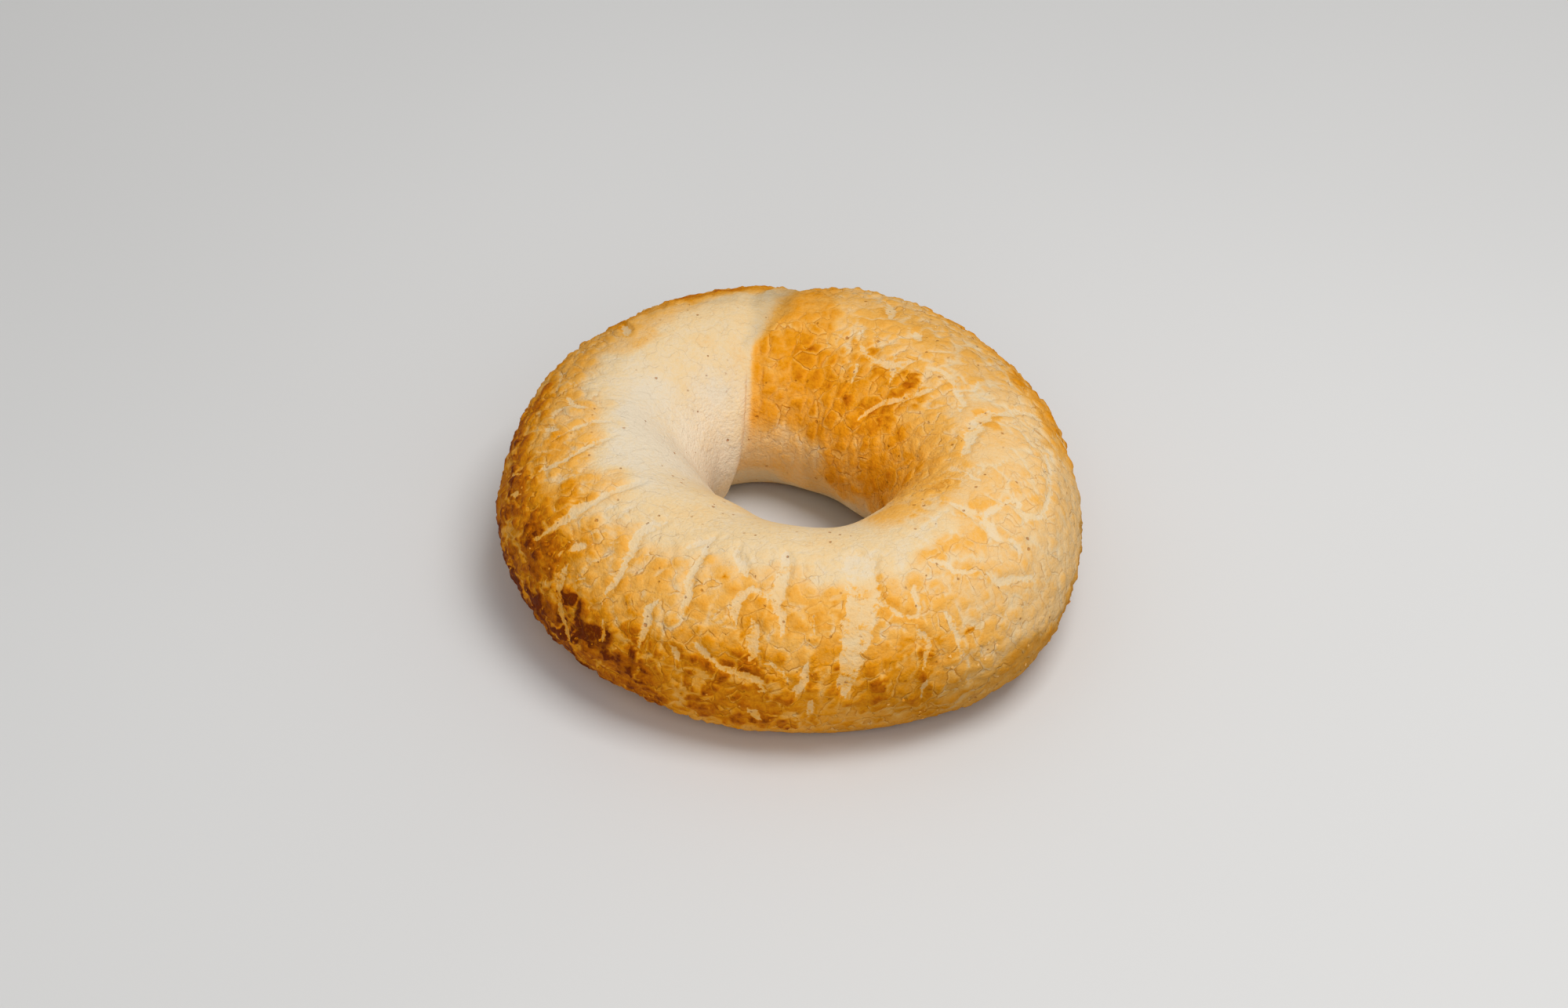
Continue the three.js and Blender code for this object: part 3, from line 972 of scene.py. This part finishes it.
def run_tree(piece, tree, values):
    """Runs geometry nodes on a piece and keeps the result as its plain mesh."""
    modifier = piece.modifiers.new(tree.name, "NODES")
    modifier.node_group = tree
    for item in tree.interface.items_tree:
        if item.in_out == "INPUT" and item.name in values:
            modifier[item.identifier] = values[item.name]
    graph = bpy.context.evaluated_depsgraph_get()
    graph.update()
    plain = piece.data
    made = bpy.data.meshes.new_from_object(
        piece.evaluated_get(graph), preserve_all_data_layers=True, depsgraph=graph
    )
    piece.modifiers.remove(modifier)
    piece.data = made
    made.name = piece.name
    bpy.data.meshes.remove(plain)
    if len(made.polygons) == 0:
        raise RuntimeError(f"{piece.name} came out empty")


def new_finish(name):
    """An empty material and the board of its nodes."""
    finish = bpy.data.materials.new(name)
    finish.use_nodes = True
    finish.node_tree.nodes.clear()
    return finish, Board(finish.node_tree)


def close_finish(board, sockets):
    """Ends a material with its shader."""
    shader = board.wire("ShaderNodeBsdfPrincipled", 0, None, sockets)
    board.node("ShaderNodeOutputMaterial", None, {"Surface": shader})


def read_value(board, name, output="Fac"):
    """A stored value of the mesh, in a material."""
    return board.wire("ShaderNodeAttribute", output, {"attribute_name": name})


# Relief of the crust; places and sizes are in millimetres, and a noise has its size, detail and roughness

RELIEF_INPUTS = {
    "Tear Depth": "tear_depth",
    "Tear Wall": "tear_wall",
    "Rim Height": "rim_height",
    "Ragged Edge": "ragged",
    "Plate Groove": "plate_groove",
    "Scale Lift": "scale_lift",
    "Crag Height": "crag_height",
    "Grain Height": "grain_height",
}
RELIEF_WEIGHTS = ("shown", "brown", "scaled", "netted", "craggy")

# Tears
RAGGED_SIZE = 3.4
FRAYED_SIZE = 1.2
FRAYED_SHARE = 0.1
FLOOR_UNEVEN = 0.15
RIM_REACH = 2.4
WIDE_TEAR = 1.8
SHALLOWEST = 0.3

# Plates and the pale net between them
PLATE_WANDER_SIZE = 6.0
PLATE_WANDER = 9.0
NET_BREADTH = 0.75
NET_BREADTH_SWING = 0.35
NET_BREADTH_SIZE = 5.0
NET_BREADTH_LIMITS = (0.3, 3.0)
NET_BREAK_SIZE = 8.0
NET_BREAK_EDGE = (-0.35, -0.05)

# Scales, crags and grain
SCALE_WANDER_SIZE = 3.2
SCALE_WANDER = 2.4
SCALE_FRAY_SIZE = 1.4
SCALE_FRAY = 0.55
DOME_REACH = 0.8
DOME_SHARE = 0.9
DOME_MIDDLE = 0.55
OUTLINE_SIZE = 2.2
OUTLINE_LEVEL = 0.62
OUTLINE_LEAST = 0.3
CRAG_NOISE = (4.0, 4.0, 0.6)
GRAIN_NOISE = (1.6, 3.0)
GRAIN_LEAST = 0.5

# Unevenness of the browning
CLOUD_NOISE = (8.0, 3.0)
CLOUD_TONE = 0.1
PLATE_TONE = 0.18
SCALE_TONE = 0.12
DOME_TONE = 0.14
DOME_EVEN = 0.4
NET_TONE = 0.12
SWING_RISE = 1.6
SWING_LEAST = 0.3
SWING_PALE = 1.3
SWING_FALL = 0.65
EDGE_RISE = (0.1, 0.5)
EDGE_FALL = (0.5, 2.0)
EDGE_TONE = 0.3
EDGE_PALE = 0.12


def pale_net(board, place, edge):
    """Pale cracks between plates: 1 in the middle of a crack, 0 away from it."""
    swing = NET_BREADTH_SWING * board.noise(place, NET_BREADTH_SIZE)
    breadth = board.clamp(NET_BREADTH + swing, *NET_BREADTH_LIMITS)
    line = 1.0 - board.smooth(edge / breadth, 0.0, 1.0)
    return line * board.smooth(board.noise(place, NET_BREAK_SIZE), *NET_BREAK_EDGE)


def crust_patterns(board, place, shape, weight):
    """Plates, the pale net between them and scales, each held to its own zones."""
    plate_size = shape.plate_size / MM
    scale_size = shape.scale_size / MM
    plate_place = board.wander(place, PLATE_WANDER_SIZE, PLATE_WANDER)
    scale_place = board.wander(place, SCALE_WANDER_SIZE, SCALE_WANDER)
    scale_place = board.wander(scale_place, SCALE_FRAY_SIZE, SCALE_FRAY)
    outlined = board.clamp(OUTLINE_LEVEL + board.noise(place, OUTLINE_SIZE))
    return {
        "net": pale_net(board, place, board.cell_edge(plate_place, plate_size)) * weight["netted"],
        "plate": board.cell_value(plate_place, plate_size) * weight["netted"],
        "scale": board.cell_value(scale_place, scale_size) * weight["scaled"],
        "dome": board.smooth(board.cell_edge(scale_place, scale_size), 0.0, DOME_REACH),
        "outlined": outlined * board.clamp(weight["scaled"], OUTLINE_LEAST, 1.0),
        "scale_place": scale_place,
    }


def nearest_tear(board, place, normal, floors, ragged):
    """Distance from the nearest tear's ragged edge, and the tear's width."""
    moved = board.wander(place, RAGGED_SIZE, ragged)
    moved = board.wander(moved, FRAYED_SIZE, FRAYED_SHARE * ragged)
    rise = board.vector("DOT_PRODUCT", board.vector("SUBTRACT", moved, place), normal, "Value")
    level = board.scaled(board.vector("SUBTRACT", moved, board.scaled(normal, rise)), MM)
    sockets = {"Geometry": floors, "Source Position": level}
    distance = board.wire("GeometryNodeProximity", "Distance", {"target_element": "FACES"}, sockets)
    sockets = {"Mesh": floors, "Value": named_value(board, "width"), "Sample Position": level}
    width = board.wire("GeometryNodeSampleNearestSurface", "Value", {"data_type": "FLOAT"}, sockets)
    return distance / MM, width


def tear_height(board, place, size, gap, width):
    """Height of the tears' floors and rims, and the share of whole crust."""
    wall = size["Tear Wall"]
    whole = board.smooth(gap, 0.0, wall)
    rim = whole * (1.0 - board.smooth(gap, wall, RIM_REACH))
    depth = size["Tear Depth"] * board.clamp(width / WIDE_TEAR, SHALLOWEST, 1.0)
    uneven = 1.0 + FLOOR_UNEVEN * board.noise(place, RAGGED_SIZE)
    return size["Rim Height"] * rim - depth * (1.0 - whole) * uneven, whole


def crust_height(board, place, size, weight, pattern, whole):
    """Height of the cracks, scales, crags and grain."""
    domed = DOME_SHARE * (pattern["dome"] - DOME_MIDDLE) * weight["scaled"]
    scales = size["Scale Lift"] * (pattern["scale"] + domed)
    cracks = size["Plate Groove"] * pattern["net"]
    crags = size["Crag Height"] * board.noise(place, *CRAG_NOISE) * weight["craggy"]
    grain = size["Grain Height"] * board.noise(place, *GRAIN_NOISE) * (GRAIN_LEAST + weight["scaled"])
    return (scales - cracks) * whole + crags + grain


def crust_tone(board, place, weight, pattern, gap):
    """Browning with its clouds, plates and scales, and with deeper tone beside the tears, partly deeper
    browning and partly painted shade.
    """
    brown = weight["brown"]
    swing = board.clamp(brown * SWING_RISE, SWING_LEAST, 1.0) * (SWING_PALE - SWING_FALL * brown)
    clouds = CLOUD_TONE * board.noise(place, *CLOUD_NOISE)
    cells = PLATE_TONE * pattern["plate"] + SCALE_TONE * pattern["scale"]
    domed = DOME_TONE * (pattern["dome"] - DOME_EVEN) * weight["scaled"]
    # Beside the tears the crust browns deeper at its edge, partly painted shade along the tear's edge
    edge = board.band(gap, EDGE_RISE, EDGE_FALL)
    tear_edge_browning_and_shade = EDGE_TONE * edge * (brown - EDGE_PALE) * (1.0 - brown)
    return brown + (clouds + cells + domed) * swing + tear_edge_browning_and_shade - NET_TONE * pattern["net"]


def relief_tree(shape):
    """Geometry nodes that tear, crack and roughen the plain ring."""
    inputs = {"Tear Floors": "NodeSocketObject", "Finish": "NodeSocketMaterial"}
    inputs.update({label: "NodeSocketFloat" for label in RELIEF_INPUTS})
    board, given = new_tree("Crust relief", inputs)
    size = {label: given[label] / MM for label in RELIEF_INPUTS}
    weight = {name: named_value(board, name) for name in RELIEF_WEIGHTS}
    place = board.scaled(board.wire("GeometryNodeInputPosition"), 1.0 / MM)
    normal = board.wire("GeometryNodeInputNormal")
    floors = board.wire("GeometryNodeObjectInfo", "Geometry", None, {"Object": given["Tear Floors"]})

    gap, width = nearest_tear(board, place, normal, floors, size["Ragged Edge"])
    pattern = crust_patterns(board, place, shape, weight)
    height, whole = tear_height(board, place, size, gap, width)
    height = height + crust_height(board, place, size, weight, pattern, whole)

    geometry = stored(board, given["Geometry"], "rest", place, "FLOAT_VECTOR")
    geometry = stored(board, geometry, "scale_place", pattern["scale_place"], "FLOAT_VECTOR")
    values = {
        "tear_gap": gap,
        "net": pattern["net"],
        "tone": crust_tone(board, place, weight, pattern, gap),
        "outlined": pattern["outlined"],
    }
    for name, value in values.items():
        geometry = stored(board, geometry, name, value, "FLOAT")
    offset = board.scaled(normal, height * weight["shown"] * MM)
    geometry = board.wire("GeometryNodeSetPosition", 0, None, {"Geometry": geometry, "Offset": offset})
    geometry = board.wire("GeometryNodeSetShadeSmooth", 0, None, {"Geometry": geometry})
    return closed_tree(board, geometry, given["Finish"])


# Finish of the crust

BROWNING_LEVELS = {"flour": 0.0, "pale": 0.12, "gold": 0.36, "amber": 0.6, "brown": 0.78, "burnt": 0.93}
SHEEN = {"Specular IOR Level": 0.05, "Specular Tint": (1.0, 0.6, 0.2, 1.0)}
FINE_SIZE = 0.6
FINE_NOISE = (FINE_SIZE, 2.0, 0.6)
MOTTLE_NOISE = (2.4, 3.0, 0.6)

# Edges of the tears and of the pale net
TEAR_EDGE = (0.02, 0.22)
TEAR_FINE = 0.07
TEAR_MOTTLE = 0.16
LINE_EDGE = (0.2, 0.9)
LINE_FINE = 0.1

# Lips of the scales and hairline cracks beside them
LIP_BAND = (0.05, 0.55)
LIP_STEP = (0.08, 0.4)
CRACK_BAND = (0.02, 0.2)
CRACK_STEP = (0.08, 0.35)

# Pores
PORE_SPACING = 1.9
PORE_FINE = 0.16
PORE_LEAST = 0.45
PORE_SPREAD = 0.9
PORE_EDGE = (0.08, 0.34)
PORE_CHOICE = (0.72, 0.75)
PORE_IN_TEAR = 0.4

# Shares in the browning, in the colour and in the bumps
CHARRED = (0.74, 0.96)
FINE_TONE = 0.03
MOTTLE_TONE = 0.02
MOTTLE_BROWNED = 0.1
MOTTLE_CHARRED = 0.1
LIP_PAINTED_HIGHLIGHT = 0.5
LIP_FADE_TONE = 1.15
LINE_BARE = 0.6
OPENING_BARE = 0.3
CRUMB_PALER = 0.55
CRACK_PALE = 0.15
CRACK_BROWNED = 0.8
PORE_COLOUR = 0.7
# Painted shade in the lap's valley
OPENING_SHADE = 0.18
CHARRED_MOTTLE = 0.3
CHARRED_FINE = 0.2
PALE_ROUGH = 0.9
BROWNED_ROUGH = 0.25
FINE_BUMP = 0.04
MOTTLE_BUMP = 0.06
LIP_BUMP = 0.12
CRACK_BUMP = 0.14
PORE_BUMP = 0.16


def browned_colour(board, tone, colours):
    """Colour of the crust by its browning."""
    stops = [(level, getattr(colours, name)) for name, level in BROWNING_LEVELS.items()]
    return board.wire("ShaderNodeValToRGB", 0, {"stops": stops}, {"Fac": tone})


def scale_lines(board, size, shown):
    """Lips on the edges of the higher scales, made paler as a painted highlight, and hairline cracks
    beside them on the lower ones, darkened partly as painted shade.
    """
    place = read_value(board, "scale_place", "Vector")
    own = board.cells(place, size, "F1")
    beyond = board.cells(place, size, "F2")
    edge = (board.output(beyond, "Distance") - board.output(own, "Distance")) * (size / 2.0)
    own_level = board.part(board.output(own, "Color"), 0)
    beyond_level = board.part(board.output(beyond, "Color"), 0)
    lip = (1.0 - board.smooth(edge, *LIP_BAND)) * board.smooth(own_level - beyond_level, *LIP_STEP)
    shaded_crack = (1.0 - board.smooth(edge, *CRACK_BAND)) * board.smooth(beyond_level - own_level, *CRACK_STEP)
    return lip * shown, shaded_crack * shown


def pore_spots(board, place, fine, tear):
    """Scattered pores of uneven size, more of them in the tears."""
    cells = board.cells(place, PORE_SPACING, "F1")
    chosen = board.part(board.output(cells, "Color"), 0)
    wide = PORE_LEAST + PORE_SPREAD * board.part(board.output(cells, "Color"), 1)
    spot = (board.output(cells, "Distance") * PORE_SPACING + PORE_FINE * fine) / wide
    kept = board.smooth(chosen + PORE_IN_TEAR * tear, *PORE_CHOICE)
    return (1.0 - board.smooth(spot, *PORE_EDGE)) * kept


def crust_finish(shape, colours):
    """Baked crust: pale to burnt by its browning, with pale tears, plates, scales, pores and grain."""
    finish, board = new_finish("baked_crust")
    place = read_value(board, "rest", "Vector")
    opening = read_value(board, "opening")
    fine = board.noise(place, *FINE_NOISE)
    mottle = board.noise(place, *MOTTLE_NOISE)
    gap = read_value(board, "tear_gap") + TEAR_FINE * fine + TEAR_MOTTLE * mottle
    tear = 1.0 - board.smooth(gap, *TEAR_EDGE)
    line = board.smooth(read_value(board, "net") + LINE_FINE * fine, *LINE_EDGE)
    outlined = read_value(board, "outlined") * (1.0 - tear)
    lip, shaded_crack = scale_lines(board, shape.scale_size / MM, outlined)
    pore = pore_spots(board, place, fine, tear)

    tone = read_value(board, "tone")
    charred = board.smooth(tone, *CHARRED)
    # Painted highlight on the lips of the higher scales
    paler = LIP_PAINTED_HIGHLIGHT * tone * (LIP_FADE_TONE - tone) * lip
    mottled = (MOTTLE_TONE + MOTTLE_BROWNED * tone + MOTTLE_CHARRED * charred) * mottle
    tone = board.clamp(tone + mottled + FINE_TONE * fine - paler)
    bare = board.math("MAXIMUM", tear, LINE_BARE * line)
    bare = board.math("MAXIMUM", bare, OPENING_BARE * opening)
    tone = tone * (1.0 - CRUMB_PALER * bare)
    dark = (*colours.shaded_crack, 1.0)
    colour = browned_colour(board, tone, colours)
    # Hairline cracks and pores darkened, partly darker crust and partly painted shade in these recesses
    colour = board.blend(shaded_crack * (CRACK_PALE + CRACK_BROWNED * tone), colour, dark)
    colour = board.blend(pore * PORE_COLOUR, colour, dark)
    # Painted shade from the shade zones and in the lap's valley, less painted light in the hole; the
    # charred mottling next is the crust's own colour
    shade = 1.0 - read_value(board, "dull") - OPENING_SHADE * opening
    shade = shade + charred * (CHARRED_MOTTLE * mottle + CHARRED_FINE * fine)

    height = FINE_BUMP * fine + MOTTLE_BUMP * mottle + LIP_BUMP * lip
    height = height - CRACK_BUMP * shaded_crack - PORE_BUMP * pore
    sockets = {"Strength": 1.0, "Distance": MM, "Height": height}
    bump = board.wire("ShaderNodeBump", 0, None, sockets)
    colour = board.scaled(colour, shade)
    rough = PALE_ROUGH - BROWNED_ROUGH * tone
    close_finish(board, {"Base Color": colour, "Roughness": rough, "Normal": bump} | SHEEN)
    return finish


class BREAD_OT_crust(bpy.types.Operator):
    """Makes the bread's crust in place of the plain ring"""

    bl_idname = "bread.crust"
    bl_label = "Make Crust"

    def execute(self, context):
        shape = context.scene.bread_shape
        crust = plain_ring()
        floors = tear_floors()
        values = {label: getattr(shape, name) for label, name in RELIEF_INPUTS.items()}
        values["Tear Floors"] = floors
        values["Finish"] = crust_finish(shape, context.scene.bread_colours)
        run_tree(crust, relief_tree(shape), values)
        bpy.data.meshes.remove(floors.data)
        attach(crust, BODY)
        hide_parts(CRUST_NODE)
        return {"FINISHED"}


# Flakes

FLAKE_LOW = (0.4, 0.3, 0.14)
FLAKE_HIGH = (1.3, 0.9, 0.3)
FLAKE_TILT = 0.5
FLAKE_UNEVEN = 0.5
FLAKE_UNEVEN_SIZE = 0.5
FLAKE_SEEDS = {"place": 5, "turn": 11, "size": 17, "tone": 23}
FLAKE_ANYWHERE = 0.3
FLAKE_EDGE_RISE = (0.2, 0.5)
FLAKE_EDGE_FALL = (0.5, 1.6)
FLAKE_PALER = 0.75
FLECK_LEAST = 0.7
FLECK_SWING = 0.6
FLAKE_MOTTLE = 0.05
FLAKE_ROUGH = 0.9


def random_vector(board, low, high, seed):
    """A random vector for each point."""
    settings = {"data_type": "FLOAT_VECTOR"}
    return board.wire("FunctionNodeRandomValue", 0, settings, {0: low, 1: high, "Seed": seed})


def single_flake(board, size):
    """One uneven flake, before it is flattened."""
    flake = board.wire("GeometryNodeMeshIcoSphere", 0, None, {"Radius": size / 2.0, "Subdivisions": 1})
    position = board.wire("GeometryNodeInputPosition")
    uneven = FLAKE_UNEVEN * board.noise(board.scaled(position, 1.0 / MM), FLAKE_UNEVEN_SIZE)
    sockets = {"Geometry": flake, "Offset": board.scaled(position, uneven)}
    return board.wire("GeometryNodeSetPosition", 0, None, sockets)


def flake_tree():
    """Geometry nodes that scatter flakes of crust over the craggy parts and beside the tears."""
    inputs = {
        "Crust": "NodeSocketObject",
        "Finish": "NodeSocketMaterial",
        "Flake Size": "NodeSocketFloat",
        "Flake Density": "NodeSocketFloat",
    }
    board, given = new_tree("Flake scatter", inputs)
    crust = board.wire("GeometryNodeObjectInfo", "Geometry", None, {"Object": given["Crust"]})
    beside_tear = board.band(named_value(board, "tear_gap"), FLAKE_EDGE_RISE, FLAKE_EDGE_FALL)
    weight = named_value(board, "flaky") * (FLAKE_ANYWHERE + beside_tear * named_value(board, "scaled"))
    sockets = {"Mesh": crust, "Density": given["Flake Density"] * weight, "Seed": FLAKE_SEEDS["place"]}
    scatter = board.node("GeometryNodeDistributePointsOnFaces", {"distribute_method": "RANDOM"}, sockets)

    sockets = {
        "Points": board.output(scatter, "Points"),
        "Instance": single_flake(board, given["Flake Size"]),
        "Rotation": board.output(scatter, "Rotation"),
        "Scale": random_vector(board, FLAKE_LOW, FLAKE_HIGH, FLAKE_SEEDS["size"]),
    }
    flakes = board.wire("GeometryNodeInstanceOnPoints", 0, None, sockets)
    low = (-FLAKE_TILT, -FLAKE_TILT, -math.pi)
    high = (FLAKE_TILT, FLAKE_TILT, math.pi)
    turn = random_vector(board, low, high, FLAKE_SEEDS["turn"])
    flakes = board.wire("GeometryNodeRotateInstances", 0, None, {"Instances": flakes, "Rotation": turn})
    sockets = {2: 0.0, 3: 1.0, "Seed": FLAKE_SEEDS["tone"]}
    fleck = board.wire("FunctionNodeRandomValue", 1, {"data_type": "FLOAT"}, sockets)
    flakes = stored(board, flakes, "fleck", fleck, "FLOAT", "INSTANCE")
    return closed_tree(board, flakes, given["Finish"])


def flake_finish(colours):
    """Flaked crust, mostly paler than the crust around each flake."""
    finish, board = new_finish("flaked_crust")
    place = board.scaled(board.wire("ShaderNodeTexCoord", "Object"), 1.0 / MM)
    fleck = FLECK_LEAST + FLECK_SWING * read_value(board, "fleck")
    tone = FLAKE_PALER * read_value(board, "tone") * fleck
    tone = board.clamp(tone + FLAKE_MOTTLE * board.noise(place, FINE_SIZE))
    colour = browned_colour(board, tone, colours)
    close_finish(board, {"Base Color": colour, "Roughness": FLAKE_ROUGH} | SHEEN)
    return finish


class BREAD_OT_flakes(bpy.types.Operator):
    """Scatters flakes over the crust"""

    bl_idname = "bread.flakes"
    bl_label = "Scatter Flakes"

    def execute(self, context):
        settings = context.scene.bread_flakes
        flakes = mesh_object(FLAKES_NAME, np.zeros((0, 3)), np.zeros((0, 4), dtype=int))
        values = {
            "Crust": bpy.data.objects[CRUST_NAME],
            "Finish": flake_finish(context.scene.bread_colours),
            "Flake Size": settings.size,
            "Flake Density": settings.density,
        }
        run_tree(flakes, flake_tree(), values)
        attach(flakes, BODY)
        return {"FINISHED"}


# Stage: the lights stand off from the point aimed at, in metres; the aim and its shift are in millimetres

FLOOR_SIZE = 6.0
FLOOR_CLOUD_SIZE = 0.3
FLOOR_DARKER = 0.96
FLOOR_ROUGH = 0.8
AIM_HEIGHT = 16.0
AIM_SIDE = -1.3
AIM_UP = -0.55
KEY_OFFSET = (0.18, -0.10, 0.64)
KEY_SIZE = 0.34
FILL_OFFSET = (0.10, -0.60, 0.42)
FILL_SIZE = 0.50
SENSOR_WIDTH = 36.0


def aimed_light(name, offset, target, power, size):
    """A soft square light that looks at a point."""
    data = bpy.data.lights.new(name, "AREA")
    data.energy = power
    data.size = size
    light = bpy.data.objects.new(name, data)
    light.location = target + Vector(offset)
    light.rotation_euler = (-Vector(offset)).to_track_quat("-Z", "Y").to_euler()
    bpy.context.scene.collection.objects.link(light)


def floor_finish(colour):
    """Matt pale floor with a faint unevenness."""
    finish, board = new_finish("pale_floor")
    cloud = board.clamp(0.5 + board.noise(board.wire("ShaderNodeTexCoord", "Object"), FLOOR_CLOUD_SIZE))
    darker = [FLOOR_DARKER * part for part in colour]
    shade = board.blend(cloud, (*colour, 1.0), (*darker, 1.0))
    close_finish(board, {"Base Color": shade, "Roughness": FLOOR_ROUGH})
    return finish


def make_floor(colour):
    """A wide square under the bread."""
    half = FLOOR_SIZE / 2.0 / MM
    corners = np.array([(-half, -half, 0.0), (half, -half, 0.0), (half, half, 0.0), (-half, half, 0.0)])
    floor = mesh_object("floor", corners, np.array([[0, 1, 2, 3]]))
    floor.data.materials.append(floor_finish(colour))


def make_sky(scene, strength):
    """Even white light all round."""
    world = bpy.data.worlds.new("soft_sky")
    world.use_nodes = True
    background = world.node_tree.nodes["Background"]
    background.inputs["Strength"].default_value = strength
    background.inputs["Color"].default_value = (1.0, 1.0, 1.0, 1.0)
    scene.world = world
    scene.view_settings.view_transform = "Standard"


def make_camera(scene, stage, aim):
    """The camera in front of the bread, looking down on it."""
    data = bpy.data.cameras.new("camera")
    data.lens = stage.lens
    data.sensor_width = SENSOR_WIDTH
    data.sensor_fit = "HORIZONTAL"
    camera = bpy.data.objects.new("camera", data)
    back = Vector((0.0, -math.cos(stage.elevation), math.sin(stage.elevation)))
    up = Vector((0.0, math.sin(stage.elevation), math.cos(stage.elevation)))
    middle = aim + Vector((AIM_SIDE, 0.0, 0.0)) * MM + up * AIM_UP * MM
    camera.location = middle + back * stage.distance
    camera.rotation_euler = (math.pi / 2.0 - stage.elevation, 0.0, 0.0)
    scene.collection.objects.link(camera)
    scene.camera = camera


class BREAD_OT_stage(bpy.types.Operator):
    """Makes the floor, the lights and the camera"""

    bl_idname = "bread.stage"
    bl_label = "Make Stage"

    def execute(self, context):
        stage = context.scene.bread_stage
        aim = Vector((*RING_CENTRE, AIM_HEIGHT)) * MM
        make_floor(stage.floor)
        aimed_light("key", KEY_OFFSET, aim, stage.key_power, KEY_SIZE)
        aimed_light("fill", FILL_OFFSET, aim, stage.fill_power, FILL_SIZE)
        make_sky(context.scene, stage.sky)
        make_camera(context.scene, stage, aim)
        return {"FINISHED"}


class BREAD_PT_panel(bpy.types.Panel):
    """Sizes, colours and steps of the bread"""

    bl_idname = "BREAD_PT_panel"
    bl_label = "Cheese Bread Ring"
    bl_space_type = "VIEW_3D"
    bl_region_type = "UI"
    bl_category = "Bread"

    def draw(self, context):
        for label in GROUPS:
            group = getattr(context.scene, label)
            for name in group.bl_rna.properties.keys():
                if name not in ("rna_type", "name"):
                    self.layout.prop(group, name)
        for step in STEPS:
            self.layout.operator(step.bl_idname)


GROUPS = {
    "bread_shape": CrustShape,
    "bread_colours": CrustColours,
    "bread_flakes": FlakeSettings,
    "bread_stage": StageSettings,
}
STEPS = (BREAD_OT_crust, BREAD_OT_flakes, BREAD_OT_stage)
CLASSES = (*GROUPS.values(), *STEPS, BREAD_PT_panel)


def register():
    for each in CLASSES:
        bpy.utils.register_class(each)
    for label, group in GROUPS.items():
        setattr(bpy.types.Scene, label, PointerProperty(type=group))


def unregister():
    for label in GROUPS:
        delattr(bpy.types.Scene, label)
    for each in reversed(CLASSES):
        bpy.utils.unregister_class(each)


def main():
    register()
    bpy.ops.bread.crust()
    bpy.ops.bread.flakes()
    bpy.ops.bread.stage()


if __name__ == "__main__":
    main()
